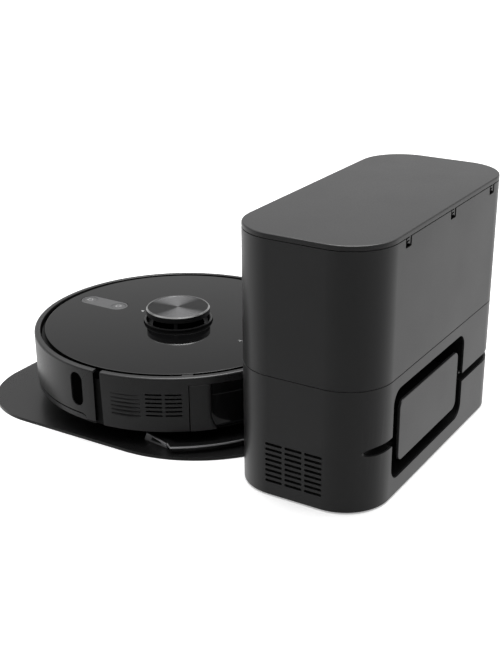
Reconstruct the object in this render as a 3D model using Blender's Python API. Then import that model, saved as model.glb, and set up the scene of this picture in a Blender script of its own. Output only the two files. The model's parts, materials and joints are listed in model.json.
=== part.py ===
"""Robot vacuum parked on its tray in front of a self-emptying station.

Metres, +Z up. The robot drives out towards -Y; the station's back faces +Y. The origin is the
centre of the whole footprint, on the floor. Every piece is its own object. A moving piece, or the
empty that holds it, has its origin on its joint's axis.
"""

import math

import bmesh
import bpy

# ---------------------------------------------------------------- driving dimensions
FIT_GAP = 0.0003          # between pieces that touch or seat
SLIDE_GAP = 0.0005        # between pieces that move in each other

# Station
STATION_W = 0.357
STATION_D = 0.1665
STATION_H = 0.2864
STATION_CORNER_R = 0.052
STATION_WALL = 0.0025
SHELL_LIFT = 0.0015       # bottom edge of the lower shell over the floor
SEAM_Z = 0.1372           # seam between lower and upper shell
LID_T = 0.0052
LID_PLATE_T = 0.0024
DECK_T = 0.0025
BASE_PLATE_Z = 0.0030
BASE_PLATE_T = 0.0025
FOOT_R = 0.009
FOOT_INSET = 0.034
TONGUE_HALF_W = 0.060
TONGUE_L = 0.020
TONGUE_T = 0.0024

# Lid hooks and their notches in the back wall
HOOK_XS = (-0.114, -0.0055, 0.104)
NOTCH_W = 0.013
NOTCH_H = 0.0098
HOOK_W = 0.009
HOOK_H = 0.0078
HOOK_T = 0.0018

# Exhaust vents in the +X side
VENT_COLUMNS = 3
VENT_ROWS = 8
VENT_PITCH_Y = (STATION_D - 0.0969) / VENT_COLUMNS
VENT_W = VENT_PITCH_Y - 0.0032
VENT_H = 0.0030
VENT_PITCH_Z = 0.0061
VENT_CENTRE_Y = -0.0010
VENT_LOW_Z = 0.0164

# Cord wrap in the back wall
WRAP_X = 0.030
WRAP_Z = 0.07175
WRAP_H = 0.1035
WRAP_R = 0.016
WRAP_DEPTH = 0.032
TUB_WALL = 0.002
COVER_H = 0.070
COVER_R = 0.009
COVER_T = 0.003
CORE_INSET = 0.011
CORD_SLOT_Z = 0.0678
CORD_SLOT_H = 0.0104
CORD_SLOT_DEPTH = 0.014
INLET_X = 0.060
INLET_SOCKET_W = 0.021
INLET_SOCKET_H = 0.011
INLET_SOCKET_L = 0.011
INLET_PIN_R = 0.0011

# Suction duct, bag and blower inside the station
DUCT_HALF_W = 0.029
DUCT_DEPTH = 0.026
DUCT_WALL = 0.002
DUCT_LOW_Z = 0.026
DUCT_TOP_Z = 0.238
PORT_W = 0.052
PORT_LOW_Z = 0.030
PORT_H = 0.026
OUTLET_SIDE = 0.044
OUTLET_Z = 0.206
SPIGOT_L = 0.007
COLLAR_W = 0.104
COLLAR_H = 0.088
COLLAR_T = 0.003
COLLAR_HOLE_R = 0.020
RAIL_T = 0.003
BAG_LOW_GAP = 0.002
BAG_TOP_GAP = 0.016
BAG_REAR_GAP = 0.006
BLOWER_Y = -0.022
BLOWER_R = 0.044
BLOWER_LOW_Z = 0.092
BLOWER_H = 0.034
BLOWER_WALL = 0.002
BLOWER_EYE_R = 0.017
IMPELLER_R = 0.036
IMPELLER_H = 0.018
MOTOR_R = 0.027
MOTOR_H = 0.050
SHAFT_R = 0.003
FILTER_T = 0.010
FILTER_GAP = 0.0014
BOARD_Y = -0.020
BOARD_W = 0.088
BOARD_D = 0.060
BOARD_T = 0.0016
BOARD_Z = 0.026
WINDOW_W = 0.064
WINDOW_H = 0.024
WINDOW_Z = 0.112

# Tray and docking platform
TRAY_T = 0.0035
TRAY_SIDE_MARGIN = 0.0035
TRAY_FRONT_MARGIN = 0.0245
TRAY_FRONT_R = 0.098
TRAY_REAR_START_Y = 0.047
PLATFORM_Z = 0.008
CURB_Z = 0.012
CURB_MARGIN = 0.0165      # outer radius of the curb beyond the robot
CURB_W = 0.0095
CURB_FRONT_Y = 0.052
CURB_CORNER_DEG = 31.5
CONTACT_X = 0.032
CONTACT_Y = 0.135
CONTACT_W = 0.016
CONTACT_D = 0.010
CONTACT_H = 0.0082

# Robot
DOCK_GAP = 0.0092
ROBOT_R = 0.175
ROBOT_TOP_Z = 0.0885
SKIRT_Z = 0.0217          # lower edge of the rear shell
UNDER_Z = 0.0145          # flat underside of the chassis
SIDE_WALL = 0.0025
RIM_W = 0.007
RIM_T = 0.0028
BUMPER_END_DEG = 2.0
SHELL_START_DEG = 5.0
BUMPER_LOW_Z = 0.0235
BUMPER_STEP_Z = 0.0315
BUMPER_STEP = 0.0014
BUMPER_STEP_END_DEG = -2.5
BUMPER_WALL = 0.0032
BUMPER_TRAVEL = 0.004
SENSOR_DEG = -6.45
SENSOR_W = 0.017
SENSOR_LOW_Z = 0.040
SENSOR_HIGH_Z = 0.080
SENSOR_T = 0.0020
SENSOR_PROUD = 0.0006
COVER_DISC_T = 0.0028
TOP_DECK_Z = 0.0795
TOP_DECK_T = 0.0025
SIDE_VENT_DEGS = (25.7, 33.0)
SIDE_VENT_SWEEP_DEG = 6.4
SIDE_VENT_ROWS = 6
SIDE_VENT_LOW_Z = 0.0410
SIDE_VENT_PITCH = 0.0052
SIDE_VENT_H = 0.0020
CHASSIS_GAP = 0.0006
CHASSIS_T = 0.0025
CHASSIS_WALL_TOP_Z = 0.0775

# Button panel
PILL_L = 0.068
PILL_W = 0.026
PILL_Y = -0.1155
BUTTON_R = 0.0088
BUTTON_SPACING = 0.0453
PANEL_T = 0.0030

# Laser turret
TURRET_R = 0.039
TURRET_TOP_Z = 0.1061
CAP_DISC_Z = 0.1044
CAP_SKIRT_Z = 0.0982
CAP_TRAVEL = 0.0015
CAP_WALL = 0.0025
CAP_POST_W = 0.0045
TURRET_GUARD_R = 0.0420
TURRET_GUARD_Z = 0.0908
TURRET_GUARD_T = 0.0012
TURRET_WALL = 0.0016
ROTOR_R = 0.031
ROTOR_PULLEY_R = 0.024
MOTOR_PULLEY_R = 0.004
PULLEY_DISTANCE = 0.040
PULLEY_DEG = 65.0
PULLEY_H = 0.003
BELT_T = 0.0012
LIDAR_MOTOR_R = 0.009
LIDAR_MOTOR_H = 0.012

# Dust bin module at the rear
BIN_SEAM_DEG = 38.6
BIN_SEAM_GAP_DEG = 0.35
BIN_WING_END_DEG = 47.0
BIN_WING_T = 0.0030
BIN_RECESS = 0.006
BIN_TOP_Z = 0.0785
BIN_SPLIT_Z = 0.0635
BIN_WALL = 0.002
BIN_FRONT_Y = 0.082
FLAP_T = 0.0016
FLAP_GAP = 0.0008
FLAP_INSET = 0.0026
FILTER_W = 0.120
HEPA_T = 0.012
HEPA_H = 0.030
INTAKE_W = 0.052
INTAKE_LOW_Z = 0.023
INTAKE_H = 0.020
RELEASE_W = 0.040
RELEASE_H = 0.009
RELEASE_T = 0.006
RELEASE_TRAVEL = 0.002

# Fan, battery and board inside the robot
FAN_X = 0.056
FAN_Y = 0.048
FAN_R = 0.024
FAN_LOW_Z = 0.022
FAN_H = 0.034
FAN_WALL = 0.0018
FAN_EYE_R = 0.010
ROTOR_FAN_R = 0.018
BATTERY_X = -0.056
BATTERY_Y = 0.040
BATTERY_SIZE = (0.044, 0.072, 0.042)
BATTERY_CELL_R = 0.0092
MAIN_BOARD_Y = -0.098
MAIN_BOARD_SIZE = (0.110, 0.056)
MAIN_BOARD_Z = 0.066

# Main brush
BRUSH_Y = -0.040
BRUSH_R = 0.0195
BRUSH_CORE_R = 0.0105
BRUSH_FINS = 6
BRUSH_FLOOR_GAP = 0.0006
BAY_CLEARANCE = 0.0025
BAY_WALL = 0.002
GUARD_T = 0.0024
GUARD_FRAME_W = 0.008

# Side brush, at the front corner on the -X side
SIDE_BRUSH_DEG = -128.0
SIDE_BRUSH_HUB_R = 0.010
SIDE_BRUSH_L = 0.050
SIDE_BRUSH_T = 0.0020

# Drive wheels and caster
WHEEL_HEADROOM = 0.0135
WHEEL_R = (TOP_DECK_Z - WHEEL_HEADROOM) / 2
TYRE_W = 0.022
TYRE_T = 0.007
WHEEL_GAP = 0.003
TREAD_TEETH = 20
TREAD_DEPTH = 0.0012
ARM_T = 0.0125
ARM_PIVOT_Y = 0.046
ARM_PIVOT_Z = 0.040
ARM_REAR = 0.006
ARM_H = 0.026
AXLE_R = 0.003
EAR_T = 0.0025
EAR_HALF_D = 0.008
EAR_RISE = 0.007
CASTER_R = 0.0125
CASTER_W = 0.014
CASTER_TRAIL = 0.003
FORK_R = 0.0185
FORK_T = 0.0028

# ---------------------------------------------------------------- values worked out from them
TRAY_REACH = DOCK_GAP + 2 * ROBOT_R + TRAY_FRONT_MARGIN
TOTAL_L = STATION_D + TRAY_REACH
STATION_Y = TOTAL_L / 2 - STATION_D / 2
ROBOT_Y = TOTAL_L / 2 - STATION_D - DOCK_GAP - ROBOT_R
STATION_BACK = STATION_D / 2
STATION_FRONT = -STATION_D / 2
INNER_BACK = STATION_BACK - STATION_WALL
INNER_FRONT = STATION_FRONT + STATION_WALL
WRAP_W = STATION_W - 0.173
COVER_W = WRAP_W - 0.032
BAG_HALF_W = STATION_W / 2 - 0.0605
BLOWER_X = STATION_W / 2 - 0.0945
BOARD_X = 0.0605 - STATION_W / 2
LID_SEAM_Z = STATION_H - LID_T
SHELL_TOP_Z = LID_SEAM_Z - 2 * FIT_GAP
DECK_Z = SEAM_Z + 3 * FIT_GAP
TRAY_HALF_W = ROBOT_R + TRAY_SIDE_MARGIN
TRAY_REAR_R = ROBOT_R - 0.015
CURB_R = ROBOT_R + CURB_MARGIN
CURB_FRONT_X = ROBOT_R - 0.029
DOCK_FACE_Y = ROBOT_R + DOCK_GAP          # station's front face, seen from the robot's centre
COVER_TOP_Z = ROBOT_TOP_Z - FIT_GAP
COVER_LOW_Z = COVER_TOP_Z - COVER_DISC_T
RIM_INNER_R = ROBOT_R - RIM_W
COVER_DISC_R = RIM_INNER_R - 0.0056        # a dark groove shows round the glossy disc
DECK_DISC_R = RIM_INNER_R - 0.0015
CHASSIS_FLAT_R = ROBOT_R - 0.018
CHASSIS_R = ROBOT_R - max(SIDE_WALL, BUMPER_WALL) - CHASSIS_GAP
WHEEL_Z = TRAY_T + FIT_GAP + WHEEL_R
CASTER_Z = TRAY_T + FIT_GAP + CASTER_R
BRUSH_Z = TRAY_T + BRUSH_FLOOR_GAP + BRUSH_R
BAY_R = BRUSH_R + BAY_CLEARANCE
WHEEL_X = ROBOT_R - 0.062
BRUSH_HALF_L = WHEEL_X - 0.033
CASTER_Y = -(ROBOT_R - 0.045)
SIDE_BRUSH_RADIUS = ROBOT_R - 0.047
BIN_R = ROBOT_R - BIN_RECESS
BIN_HALF_W = BIN_R * math.cos(math.radians(BIN_WING_END_DEG - 1.3))   # its corners lie behind the wings
BIN_LOW_Z = SKIRT_Z + CHASSIS_GAP
DUCT_FRONT = INNER_FRONT + FIT_GAP
DUCT_BACK = DUCT_FRONT + DUCT_DEPTH
TUB_MOUTH_Y = INNER_BACK - FIT_GAP
TUB_FLOOR_Y = TUB_MOUTH_Y - WRAP_DEPTH
CHASSIS_FLOOR_Z = UNDER_Z + CHASSIS_T

ROUND_STEP = 6.0          # degrees between the points of the robot's large rounds
FINE_STEP = 15.0          # and of small turned pieces
BLADE_POINTS = 5
TURRET_STEP = 12.0


# ---------------------------------------------------------------- mesh helpers
def clear_scene():
    for obj in list(bpy.data.objects):
        bpy.data.objects.remove(obj, do_unlink=True)


def to_mesh(bm, name):
    bmesh.ops.recalc_face_normals(bm, faces=bm.faces)
    mesh = bpy.data.meshes.new(name)
    bm.to_mesh(mesh)
    bm.free()
    mesh.shade_smooth()
    mesh.set_sharp_from_angle(angle=math.radians(32))
    return mesh


def add_prism(bm, outline, low, high):
    bottom = [bm.verts.new((x, y, low)) for x, y in outline]
    top = [bm.verts.new((x, y, high)) for x, y in outline]
    count = len(outline)
    bm.faces.new(list(reversed(bottom)))
    bm.faces.new(top)
    for i in range(count):
        j = (i + 1) % count
        bm.faces.new((bottom[i], bottom[j], top[j], top[i]))


def prism(name, outline, low, high):
    bm = bmesh.new()
    add_prism(bm, outline, low, high)
    return to_mesh(bm, name)


def prisms(name, outlines, low, high):
    bm = bmesh.new()
    for outline in outlines:
        add_prism(bm, outline, low, high)
    return to_mesh(bm, name)


def loft(name, rings, closed=False):
    """Skin through rings with the same number of points; the end rings are capped unless closed."""
    bm = bmesh.new()
    loops = [[bm.verts.new(point) for point in ring] for ring in rings]
    spans = len(loops) if closed else len(loops) - 1
    for i in range(spans):
        here = loops[i]
        there = loops[(i + 1) % len(loops)]
        for j in range(len(here)):
            k = (j + 1) % len(here)
            bm.faces.new((here[j], here[k], there[k], there[j]))
    if not closed:
        bm.faces.new(list(reversed(loops[0])))
        bm.faces.new(loops[-1])
    return to_mesh(bm, name)


def wall_ring(name, outer, inner, low, high):
    """An upright wall between two outlines with the same number of points."""
    rings = [
        [(x, y, low) for x, y in outer],
        [(x, y, high) for x, y in outer],
        [(x, y, high) for x, y in inner],
        [(x, y, low) for x, y in inner],
    ]
    return loft(name, rings, closed=True)


def cup(name, outer, inner, mouth, floor, back):
    """A tub: its mouth, the inside of its floor and its back are heights, in that order."""
    rings = [
        [(x, y, back) for x, y in outer],
        [(x, y, mouth) for x, y in outer],
        [(x, y, mouth) for x, y in inner],
        [(x, y, floor) for x, y in inner],
    ]
    return loft(name, rings)


def sweep(name, profile, start=0.0, end=360.0, step=ROUND_STEP):
    """Turn a closed outline of (radius, height) about Z, from one angle to another in degrees."""
    count = max(3, round((end - start) / step))
    full = abs(end - start - 360.0) < 1e-6
    bm = bmesh.new()
    rings = []
    for i in range(count if full else count + 1):
        angle = math.radians(start + (end - start) * i / count)
        ring = [bm.verts.new((r * math.cos(angle), r * math.sin(angle), z)) for r, z in profile]
        rings.append(ring)
    for i in range(count):
        here = rings[i]
        there = rings[(i + 1) % len(rings)]
        for j in range(len(profile)):
            k = (j + 1) % len(profile)
            bm.faces.new((here[j], there[j], there[k], here[k]))
    if not full:
        bm.faces.new(rings[0])
        bm.faces.new(list(reversed(rings[-1])))
    return to_mesh(bm, name)


def turned(name, profile, step=FINE_STEP):
    """A solid turned about Z: (radius, height) points from the bottom face round to the top face."""
    count = round(360 / step)
    rings = []
    for r, z in profile:
        rings.append([
            (r * math.cos(2 * math.pi * i / count), r * math.sin(2 * math.pi * i / count), z)
            for i in range(count)
        ])
    return loft(name, rings)


def cylinder(name, radius, low, high, step=FINE_STEP):
    return turned(name, [(radius, low), (radius, high)], step)


def pipe(name, outer, inner, low, high, step=FINE_STEP):
    return sweep(name, [(inner, low), (outer, low), (outer, high), (inner, high)], step=step)


def block_outline(x_low, x_high, y_low, y_high):
    return [(x_low, y_low), (x_high, y_low), (x_high, y_high), (x_low, y_high)]


def block(name, lows, highs):
    return prism(name, block_outline(lows[0], highs[0], lows[1], highs[1]), lows[2], highs[2])


def arc(centre, radius, start, end, steps):
    """Points on an arc, both ends included, angles in degrees."""
    points = []
    for i in range(steps + 1):
        angle = math.radians(start + (end - start) * i / steps)
        points.append((centre[0] + radius * math.cos(angle), centre[1] + radius * math.sin(angle)))
    return points


def rounded_rect(width, depth, radius, steps=6, centre=(0.0, 0.0)):
    x = width / 2 - radius
    y = depth / 2 - radius
    corners = ((x, y, 0), (-x, y, 90), (-x, -y, 180), (x, -y, 270))
    outline = []
    for cx, cy, start in corners:
        outline += arc((centre[0] + cx, centre[1] + cy), radius, start, start + 90, steps)
    return outline


def stadium(length, width, steps=8, centre=(0.0, 0.0)):
    """A slot shape with its long side along Y."""
    radius = width / 2
    half = length / 2 - radius
    top = arc((centre[0], centre[1] + half), radius, 0, 180, steps)
    bottom = arc((centre[0], centre[1] - half), radius, 180, 360, steps)
    return top + bottom


def material(name, colour, roughness, metallic=0.0):
    found = bpy.data.materials.get(name)
    if found:
        return found
    made = bpy.data.materials.new(name)
    made.use_nodes = True
    shader = made.node_tree.nodes["Principled BSDF"]
    shader.inputs["Base Color"].default_value = (*colour, 1.0)
    shader.inputs["Roughness"].default_value = roughness
    shader.inputs["Metallic"].default_value = metallic
    made.diffuse_color = (*colour, 1.0)
    return made


SATIN = ("satin_black", (0.020, 0.020, 0.021), 0.45, 0.0)
MATTE = ("matte_black", (0.012, 0.012, 0.012), 0.70, 0.0)
GLOSS = ("gloss_black", (0.008, 0.008, 0.009), 0.08, 0.0)
GREY = ("dark_grey", (0.090, 0.090, 0.092), 0.50, 0.0)
LIGHT = ("light_grey", (0.450, 0.450, 0.460), 0.50, 0.0)
METAL = ("dark_metal", (0.180, 0.180, 0.190), 0.30, 1.0)
STEEL = ("steel", (0.600, 0.600, 0.620), 0.30, 1.0)
RUBBER = ("rubber", (0.018, 0.018, 0.018), 0.85, 0.0)
FOAM = ("foam", (0.035, 0.035, 0.036), 0.95, 0.0)
PAPER = ("bag_fleece", (0.720, 0.700, 0.660), 0.95, 0.0)
CARD = ("collar_card", (0.520, 0.430, 0.300), 0.85, 0.0)
BOARD = ("circuit_board", (0.030, 0.120, 0.060), 0.55, 0.0)
CELL = ("battery_wrap", (0.040, 0.090, 0.220), 0.45, 0.0)
BRISTLE = ("bristle", (0.060, 0.060, 0.065), 0.80, 0.0)
PLEAT = ("filter_pleats", (0.780, 0.780, 0.760), 0.95, 0.0)


def put(name, mesh, look, parent, location=(0, 0, 0), rotation=(0, 0, 0)):
    obj = bpy.data.objects.new(name, mesh)
    bpy.context.scene.collection.objects.link(obj)
    obj.parent = parent
    obj.location = location
    obj.rotation_euler = rotation
    mesh.materials.append(material(*look))
    return obj


def guide(mesh, parent, location=(0, 0, 0), rotation=(0, 0, 0)):
    """A hidden tool shape for a Boolean."""
    obj = bpy.data.objects.new(mesh.name, mesh)
    bpy.context.scene.collection.objects.link(obj)
    obj.parent = parent
    obj.location = location
    obj.rotation_euler = rotation
    obj.hide_render = True
    obj.display_type = "WIRE"
    return obj


def boolean(obj, other, operation):
    modifier = obj.modifiers.new(operation.title(), "BOOLEAN")
    modifier.operation = operation
    modifier.object = other
    return obj


def cut(obj, *others):
    for other in others:
        boolean(obj, other, "DIFFERENCE")


def join(obj, *others):
    for other in others:
        boolean(obj, other, "UNION")


def empty(name, parent, location):
    holder = bpy.data.objects.new(name, None)
    bpy.context.scene.collection.objects.link(holder)
    holder.parent = parent
    holder.location = location
    return holder


FACE_BACK = (math.pi / 2, 0, 0)      # a prism's height runs from its face towards -Y
ALONG_X = (0, math.pi / 2, 0)        # a turned piece's axis runs along +X


def station_outline(inset=0.0, steps=6):
    return rounded_rect(
        STATION_W - 2 * inset, STATION_D - 2 * inset, STATION_CORNER_R - inset, steps
    )


# ---------------------------------------------------------------- station housing
def make_lower_shell(station):
    wall = wall_ring(
        "station_lower_shell", station_outline(), station_outline(STATION_WALL),
        SHELL_LIFT, SEAM_Z - FIT_GAP,
    )
    shell = put("station_lower_shell", wall, SATIN, station)

    reach = (STATION_W / 2 - 2 * STATION_WALL, STATION_W / 2 + STATION_WALL)
    bm = bmesh.new()
    for column in range(VENT_COLUMNS):
        y = VENT_CENTRE_Y + (column - (VENT_COLUMNS - 1) / 2) * VENT_PITCH_Y
        for row in range(VENT_ROWS):
            z = VENT_LOW_Z + row * VENT_PITCH_Z
            vent = block_outline(reach[0], reach[1], y - VENT_W / 2, y + VENT_W / 2)
            add_prism(bm, vent, z, z + VENT_H)
    cut(shell, guide(to_mesh(bm, "cut_vents"), station))

    opening = prism("cut_wrap", rounded_rect(WRAP_W, WRAP_H, WRAP_R), -STATION_WALL, 2 * STATION_WALL)
    cut(shell, guide(opening, station, (WRAP_X, STATION_BACK, WRAP_Z), FACE_BACK))
    cut(shell, guide(cord_slot_mesh("cut_cord_slot"), station))

    port = prism("cut_port", port_outline(0.0), -2 * STATION_WALL, 2 * STATION_WALL)
    cut(shell, guide(port, station, (0, STATION_FRONT, 0), FACE_BACK))
    window = prism("cut_window", window_outline(FIT_GAP), -2 * STATION_WALL, 2 * STATION_WALL)
    cut(shell, guide(window, station, (0, STATION_FRONT, 0), FACE_BACK))

    half = TONGUE_HALF_W + SLIDE_GAP
    notch = block(
        "cut_tongue", (-half, STATION_FRONT - STATION_WALL, 0),
        (half, INNER_FRONT + STATION_WALL, TONGUE_T + FIT_GAP),
    )
    cut(shell, guide(notch, station))


def cord_slot_mesh(name):
    """The slots that lead the cord from the wrap round both corners."""
    return block(
        name,
        (-STATION_W / 2, STATION_BACK - CORD_SLOT_DEPTH, CORD_SLOT_Z - CORD_SLOT_H / 2),
        (STATION_W / 2, STATION_BACK + STATION_WALL, CORD_SLOT_Z + CORD_SLOT_H / 2),
    )


def port_outline(grow):
    return rounded_rect(
        PORT_W + 2 * grow, PORT_H + 2 * grow, 0.006 + grow, 4, (0, PORT_LOW_Z + PORT_H / 2)
    )


def window_outline(grow):
    return rounded_rect(WINDOW_W + 2 * grow, WINDOW_H + 2 * grow, 0.006 + grow, 4, (0, WINDOW_Z))


def make_upper_shell(station):
    wall = wall_ring(
        "station_upper_shell", station_outline(), station_outline(STATION_WALL),
        SEAM_Z + FIT_GAP, SHELL_TOP_Z,
    )
    shell = put("station_upper_shell", wall, SATIN, station)
    notches = [
        block_outline(x - NOTCH_W / 2, x + NOTCH_W / 2, INNER_BACK - STATION_WALL,
                      STATION_BACK + STATION_WALL)
        for x in HOOK_XS
    ]
    cut(shell, guide(prisms("cut_notches", notches, LID_SEAM_Z - NOTCH_H, STATION_H), station))


def make_lid(station):
    """The lid turns about the top edge of the back wall."""
    hinge = empty("lid_hinge", station, (0, STATION_BACK, LID_SEAM_Z - FIT_GAP))
    back = -STATION_BACK
    seam = FIT_GAP

    def shifted(outline):
        return [(x, y + back) for x, y in outline]

    lid_mesh = cup(
        "station_lid", shifted(station_outline()), shifted(station_outline(STATION_WALL)),
        seam, LID_T + seam - LID_PLATE_T, LID_T + seam,
    )
    lid = put("station_lid", lid_mesh, SATIN, hinge)
    hooks = [
        block_outline(x - HOOK_W / 2, x + HOOK_W / 2, -HOOK_T - FIT_GAP, -FIT_GAP) for x in HOOK_XS
    ]
    join(lid, guide(prisms("lid_hooks", hooks, seam - HOOK_H, seam + LID_T / 2), hinge))

    outer = STATION_WALL + 2 * SLIDE_GAP
    seal = wall_ring(
        "lid_seal", shifted(station_outline(outer)), shifted(station_outline(outer + 0.003)),
        seam - 0.002, LID_T + seam - LID_PLATE_T - FIT_GAP,
    )
    put("lid_seal", seal, RUBBER, hinge)


def make_base_plate(station):
    plate = put(
        "base_plate",
        prism("base_plate", station_outline(STATION_WALL + FIT_GAP), BASE_PLATE_Z,
              BASE_PLATE_Z + BASE_PLATE_T),
        MATTE, station,
    )
    x = STATION_W / 2 - FOOT_INSET
    y = STATION_D / 2 - FOOT_INSET
    feet = [arc((sx * x, sy * y), FOOT_R, 0, 330, 11) for sx in (-1, 1) for sy in (-1, 1)]
    join(plate, guide(prisms("feet", feet, 0, BASE_PLATE_Z + BASE_PLATE_T / 2), station))


def make_mid_deck(station):
    deck = put(
        "mid_deck",
        prism("mid_deck", station_outline(STATION_WALL + FIT_GAP), DECK_Z, DECK_Z + DECK_T),
        MATTE, station,
    )
    half = DUCT_HALF_W + FIT_GAP
    hole = block_outline(-half, half, STATION_FRONT, DUCT_BACK + FIT_GAP)
    slots = [hole]
    for i in range(5):
        y = BLOWER_Y + (i - 2) * 0.008
        slots.append(block_outline(BLOWER_X - 0.022, BLOWER_X + 0.022, y - 0.002, y + 0.002))
    cut(deck, guide(prisms("cut_deck", slots, DECK_Z - DECK_T, DECK_Z + 2 * DECK_T), station))


# ---------------------------------------------------------------- cord wrap
def make_cord_wrap(station):
    wall = rounded_rect(WRAP_W + 2 * TUB_WALL, WRAP_H + 2 * TUB_WALL, WRAP_R + TUB_WALL)
    depth = WRAP_DEPTH + TUB_WALL
    tub = put(
        "cord_wrap_tub", prism("cord_wrap_tub", wall, 0, depth), MATTE, station,
        (WRAP_X, TUB_MOUTH_Y, WRAP_Z), FACE_BACK,
    )
    arms = block(
        "slot_liner",
        (-STATION_W / 2, STATION_BACK - CORD_SLOT_DEPTH - TUB_WALL,
         CORD_SLOT_Z - CORD_SLOT_H / 2 - TUB_WALL),
        (STATION_W / 2, TUB_MOUTH_Y, CORD_SLOT_Z + CORD_SLOT_H / 2 + TUB_WALL),
    )
    join(tub, guide(arms, station))
    inside = prism("inside_limit", station_outline(STATION_WALL + FIT_GAP), 0, SEAM_Z)
    boolean(tub, guide(inside, station), "INTERSECT")

    # The channel is a ring: the core between its walls stays.
    cavity = wall_ring(
        "cut_channel", rounded_rect(WRAP_W, WRAP_H, WRAP_R),
        rounded_rect(COVER_W - 2 * CORE_INSET, COVER_H - 2 * CORE_INSET, COVER_R),
        -0.002, WRAP_DEPTH,
    )
    cut(tub, guide(cavity, station, (WRAP_X, TUB_MOUTH_Y, WRAP_Z), FACE_BACK))
    slots = prisms("cut_slots", slot_outlines(), CORD_SLOT_Z - CORD_SLOT_H / 2,
                   CORD_SLOT_Z + CORD_SLOT_H / 2)
    cut(tub, guide(slots, station))
    shave = block(
        "cut_core_face", (WRAP_X - COVER_W / 2, STATION_BACK - COVER_T - FIT_GAP,
                          WRAP_Z - COVER_H / 2),
        (WRAP_X + COVER_W / 2, STATION_BACK, WRAP_Z + COVER_H / 2),
    )
    cut(tub, guide(shave, station))

    put(
        "cord_wrap_cover",
        prism("cord_wrap_cover", rounded_rect(COVER_W, COVER_H, COVER_R), 0, COVER_T),
        SATIN, station, (WRAP_X, STATION_BACK, WRAP_Z), FACE_BACK,
    )


def slot_outlines():
    left = WRAP_X - WRAP_W / 2
    right = WRAP_X + WRAP_W / 2
    low = STATION_BACK - CORD_SLOT_DEPTH
    return [
        block_outline(-STATION_W / 2, left + TUB_WALL, low, STATION_BACK),
        block_outline(right - TUB_WALL, STATION_W / 2, low, STATION_BACK),
    ]


def make_mains_inlet(station):
    """A two-pin socket on the floor of the cord channel, above the winding core."""
    z = WRAP_Z + (WRAP_H + COVER_H) / 4
    outer = rounded_rect(INLET_SOCKET_W, INLET_SOCKET_H, 0.004, 4)
    inner = rounded_rect(INLET_SOCKET_W - 0.004, INLET_SOCKET_H - 0.004, 0.002, 4)
    mesh = cup("mains_inlet", outer, inner, -INLET_SOCKET_L, -0.003, 0)
    socket = put(
        "mains_inlet", mesh, MATTE, station, (INLET_X, TUB_FLOOR_Y + FIT_GAP, z), FACE_BACK
    )
    pins = [arc((x, 0), INLET_PIN_R, 0, 315, 7) for x in (-0.0043, 0.0043)]
    pin_mesh = prisms("inlet_pins", pins, -INLET_SOCKET_L + 0.002, -0.001)
    join(socket, guide(pin_mesh, station, (INLET_X, TUB_FLOOR_Y + FIT_GAP, z), FACE_BACK))


# ---------------------------------------------------------------- air path of the station
def make_suction_duct(station):
    duct = put(
        "suction_duct",
        block("suction_duct", (-DUCT_HALF_W, DUCT_FRONT, DUCT_LOW_Z),
              (DUCT_HALF_W, DUCT_BACK, DUCT_TOP_Z)),
        MATTE, station,
    )
    spigot = block(
        "outlet_spigot",
        (-OUTLET_SIDE / 2, DUCT_BACK - DUCT_WALL, OUTLET_Z - OUTLET_SIDE / 2),
        (OUTLET_SIDE / 2, DUCT_BACK + SPIGOT_L, OUTLET_Z + OUTLET_SIDE / 2),
    )
    join(duct, guide(spigot, station))
    hollow = block(
        "cut_duct", (DUCT_WALL - DUCT_HALF_W, DUCT_FRONT + DUCT_WALL, DUCT_LOW_Z + DUCT_WALL),
        (DUCT_HALF_W - DUCT_WALL, DUCT_BACK - DUCT_WALL, DUCT_TOP_Z - DUCT_WALL),
    )
    cut(duct, guide(hollow, station))
    mouth = prism("cut_mouth", port_outline(0.0), -2 * DUCT_WALL, 2 * DUCT_WALL)
    cut(duct, guide(mouth, station, (0, DUCT_FRONT, 0), FACE_BACK))
    side = OUTLET_SIDE / 2 - DUCT_WALL
    outlet = block(
        "cut_outlet", (-side, DUCT_BACK - 2 * DUCT_WALL, OUTLET_Z - side),
        (side, DUCT_BACK + SPIGOT_L + DUCT_WALL, OUTLET_Z + side),
    )
    cut(duct, guide(outlet, station))

    # Two rails on the duct's back hold the bag's collar, which slides in from above.
    y_low = DUCT_BACK - DUCT_WALL / 2
    y_high = DUCT_BACK + SPIGOT_L + COLLAR_T + RAIL_T
    rails = []
    for side_sign in (-1, 1):
        inner_x = side_sign * (COLLAR_W / 2 + SLIDE_GAP)
        outer_x = inner_x + side_sign * RAIL_T
        rails.append(block_outline(min(inner_x, outer_x), max(inner_x, outer_x), y_low, y_high))
    rail_mesh = prisms("collar_rails", rails, OUTLET_Z - COLLAR_H / 2, OUTLET_Z + COLLAR_H / 4)
    plate = block(
        "rail_plate", (-COLLAR_W / 2 - RAIL_T, y_low, OUTLET_Z - COLLAR_H / 2),
        (COLLAR_W / 2 + RAIL_T, DUCT_BACK + DUCT_WALL, OUTLET_Z + COLLAR_H / 4),
    )
    join(duct, guide(plate, station), guide(rail_mesh, station))
    reopen = block(
        "cut_plate_hole", (-side, DUCT_BACK - 2 * DUCT_WALL, OUTLET_Z - side),
        (side, DUCT_BACK + SPIGOT_L + DUCT_WALL, OUTLET_Z + side),
    )
    cut(duct, guide(reopen, station))


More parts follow.
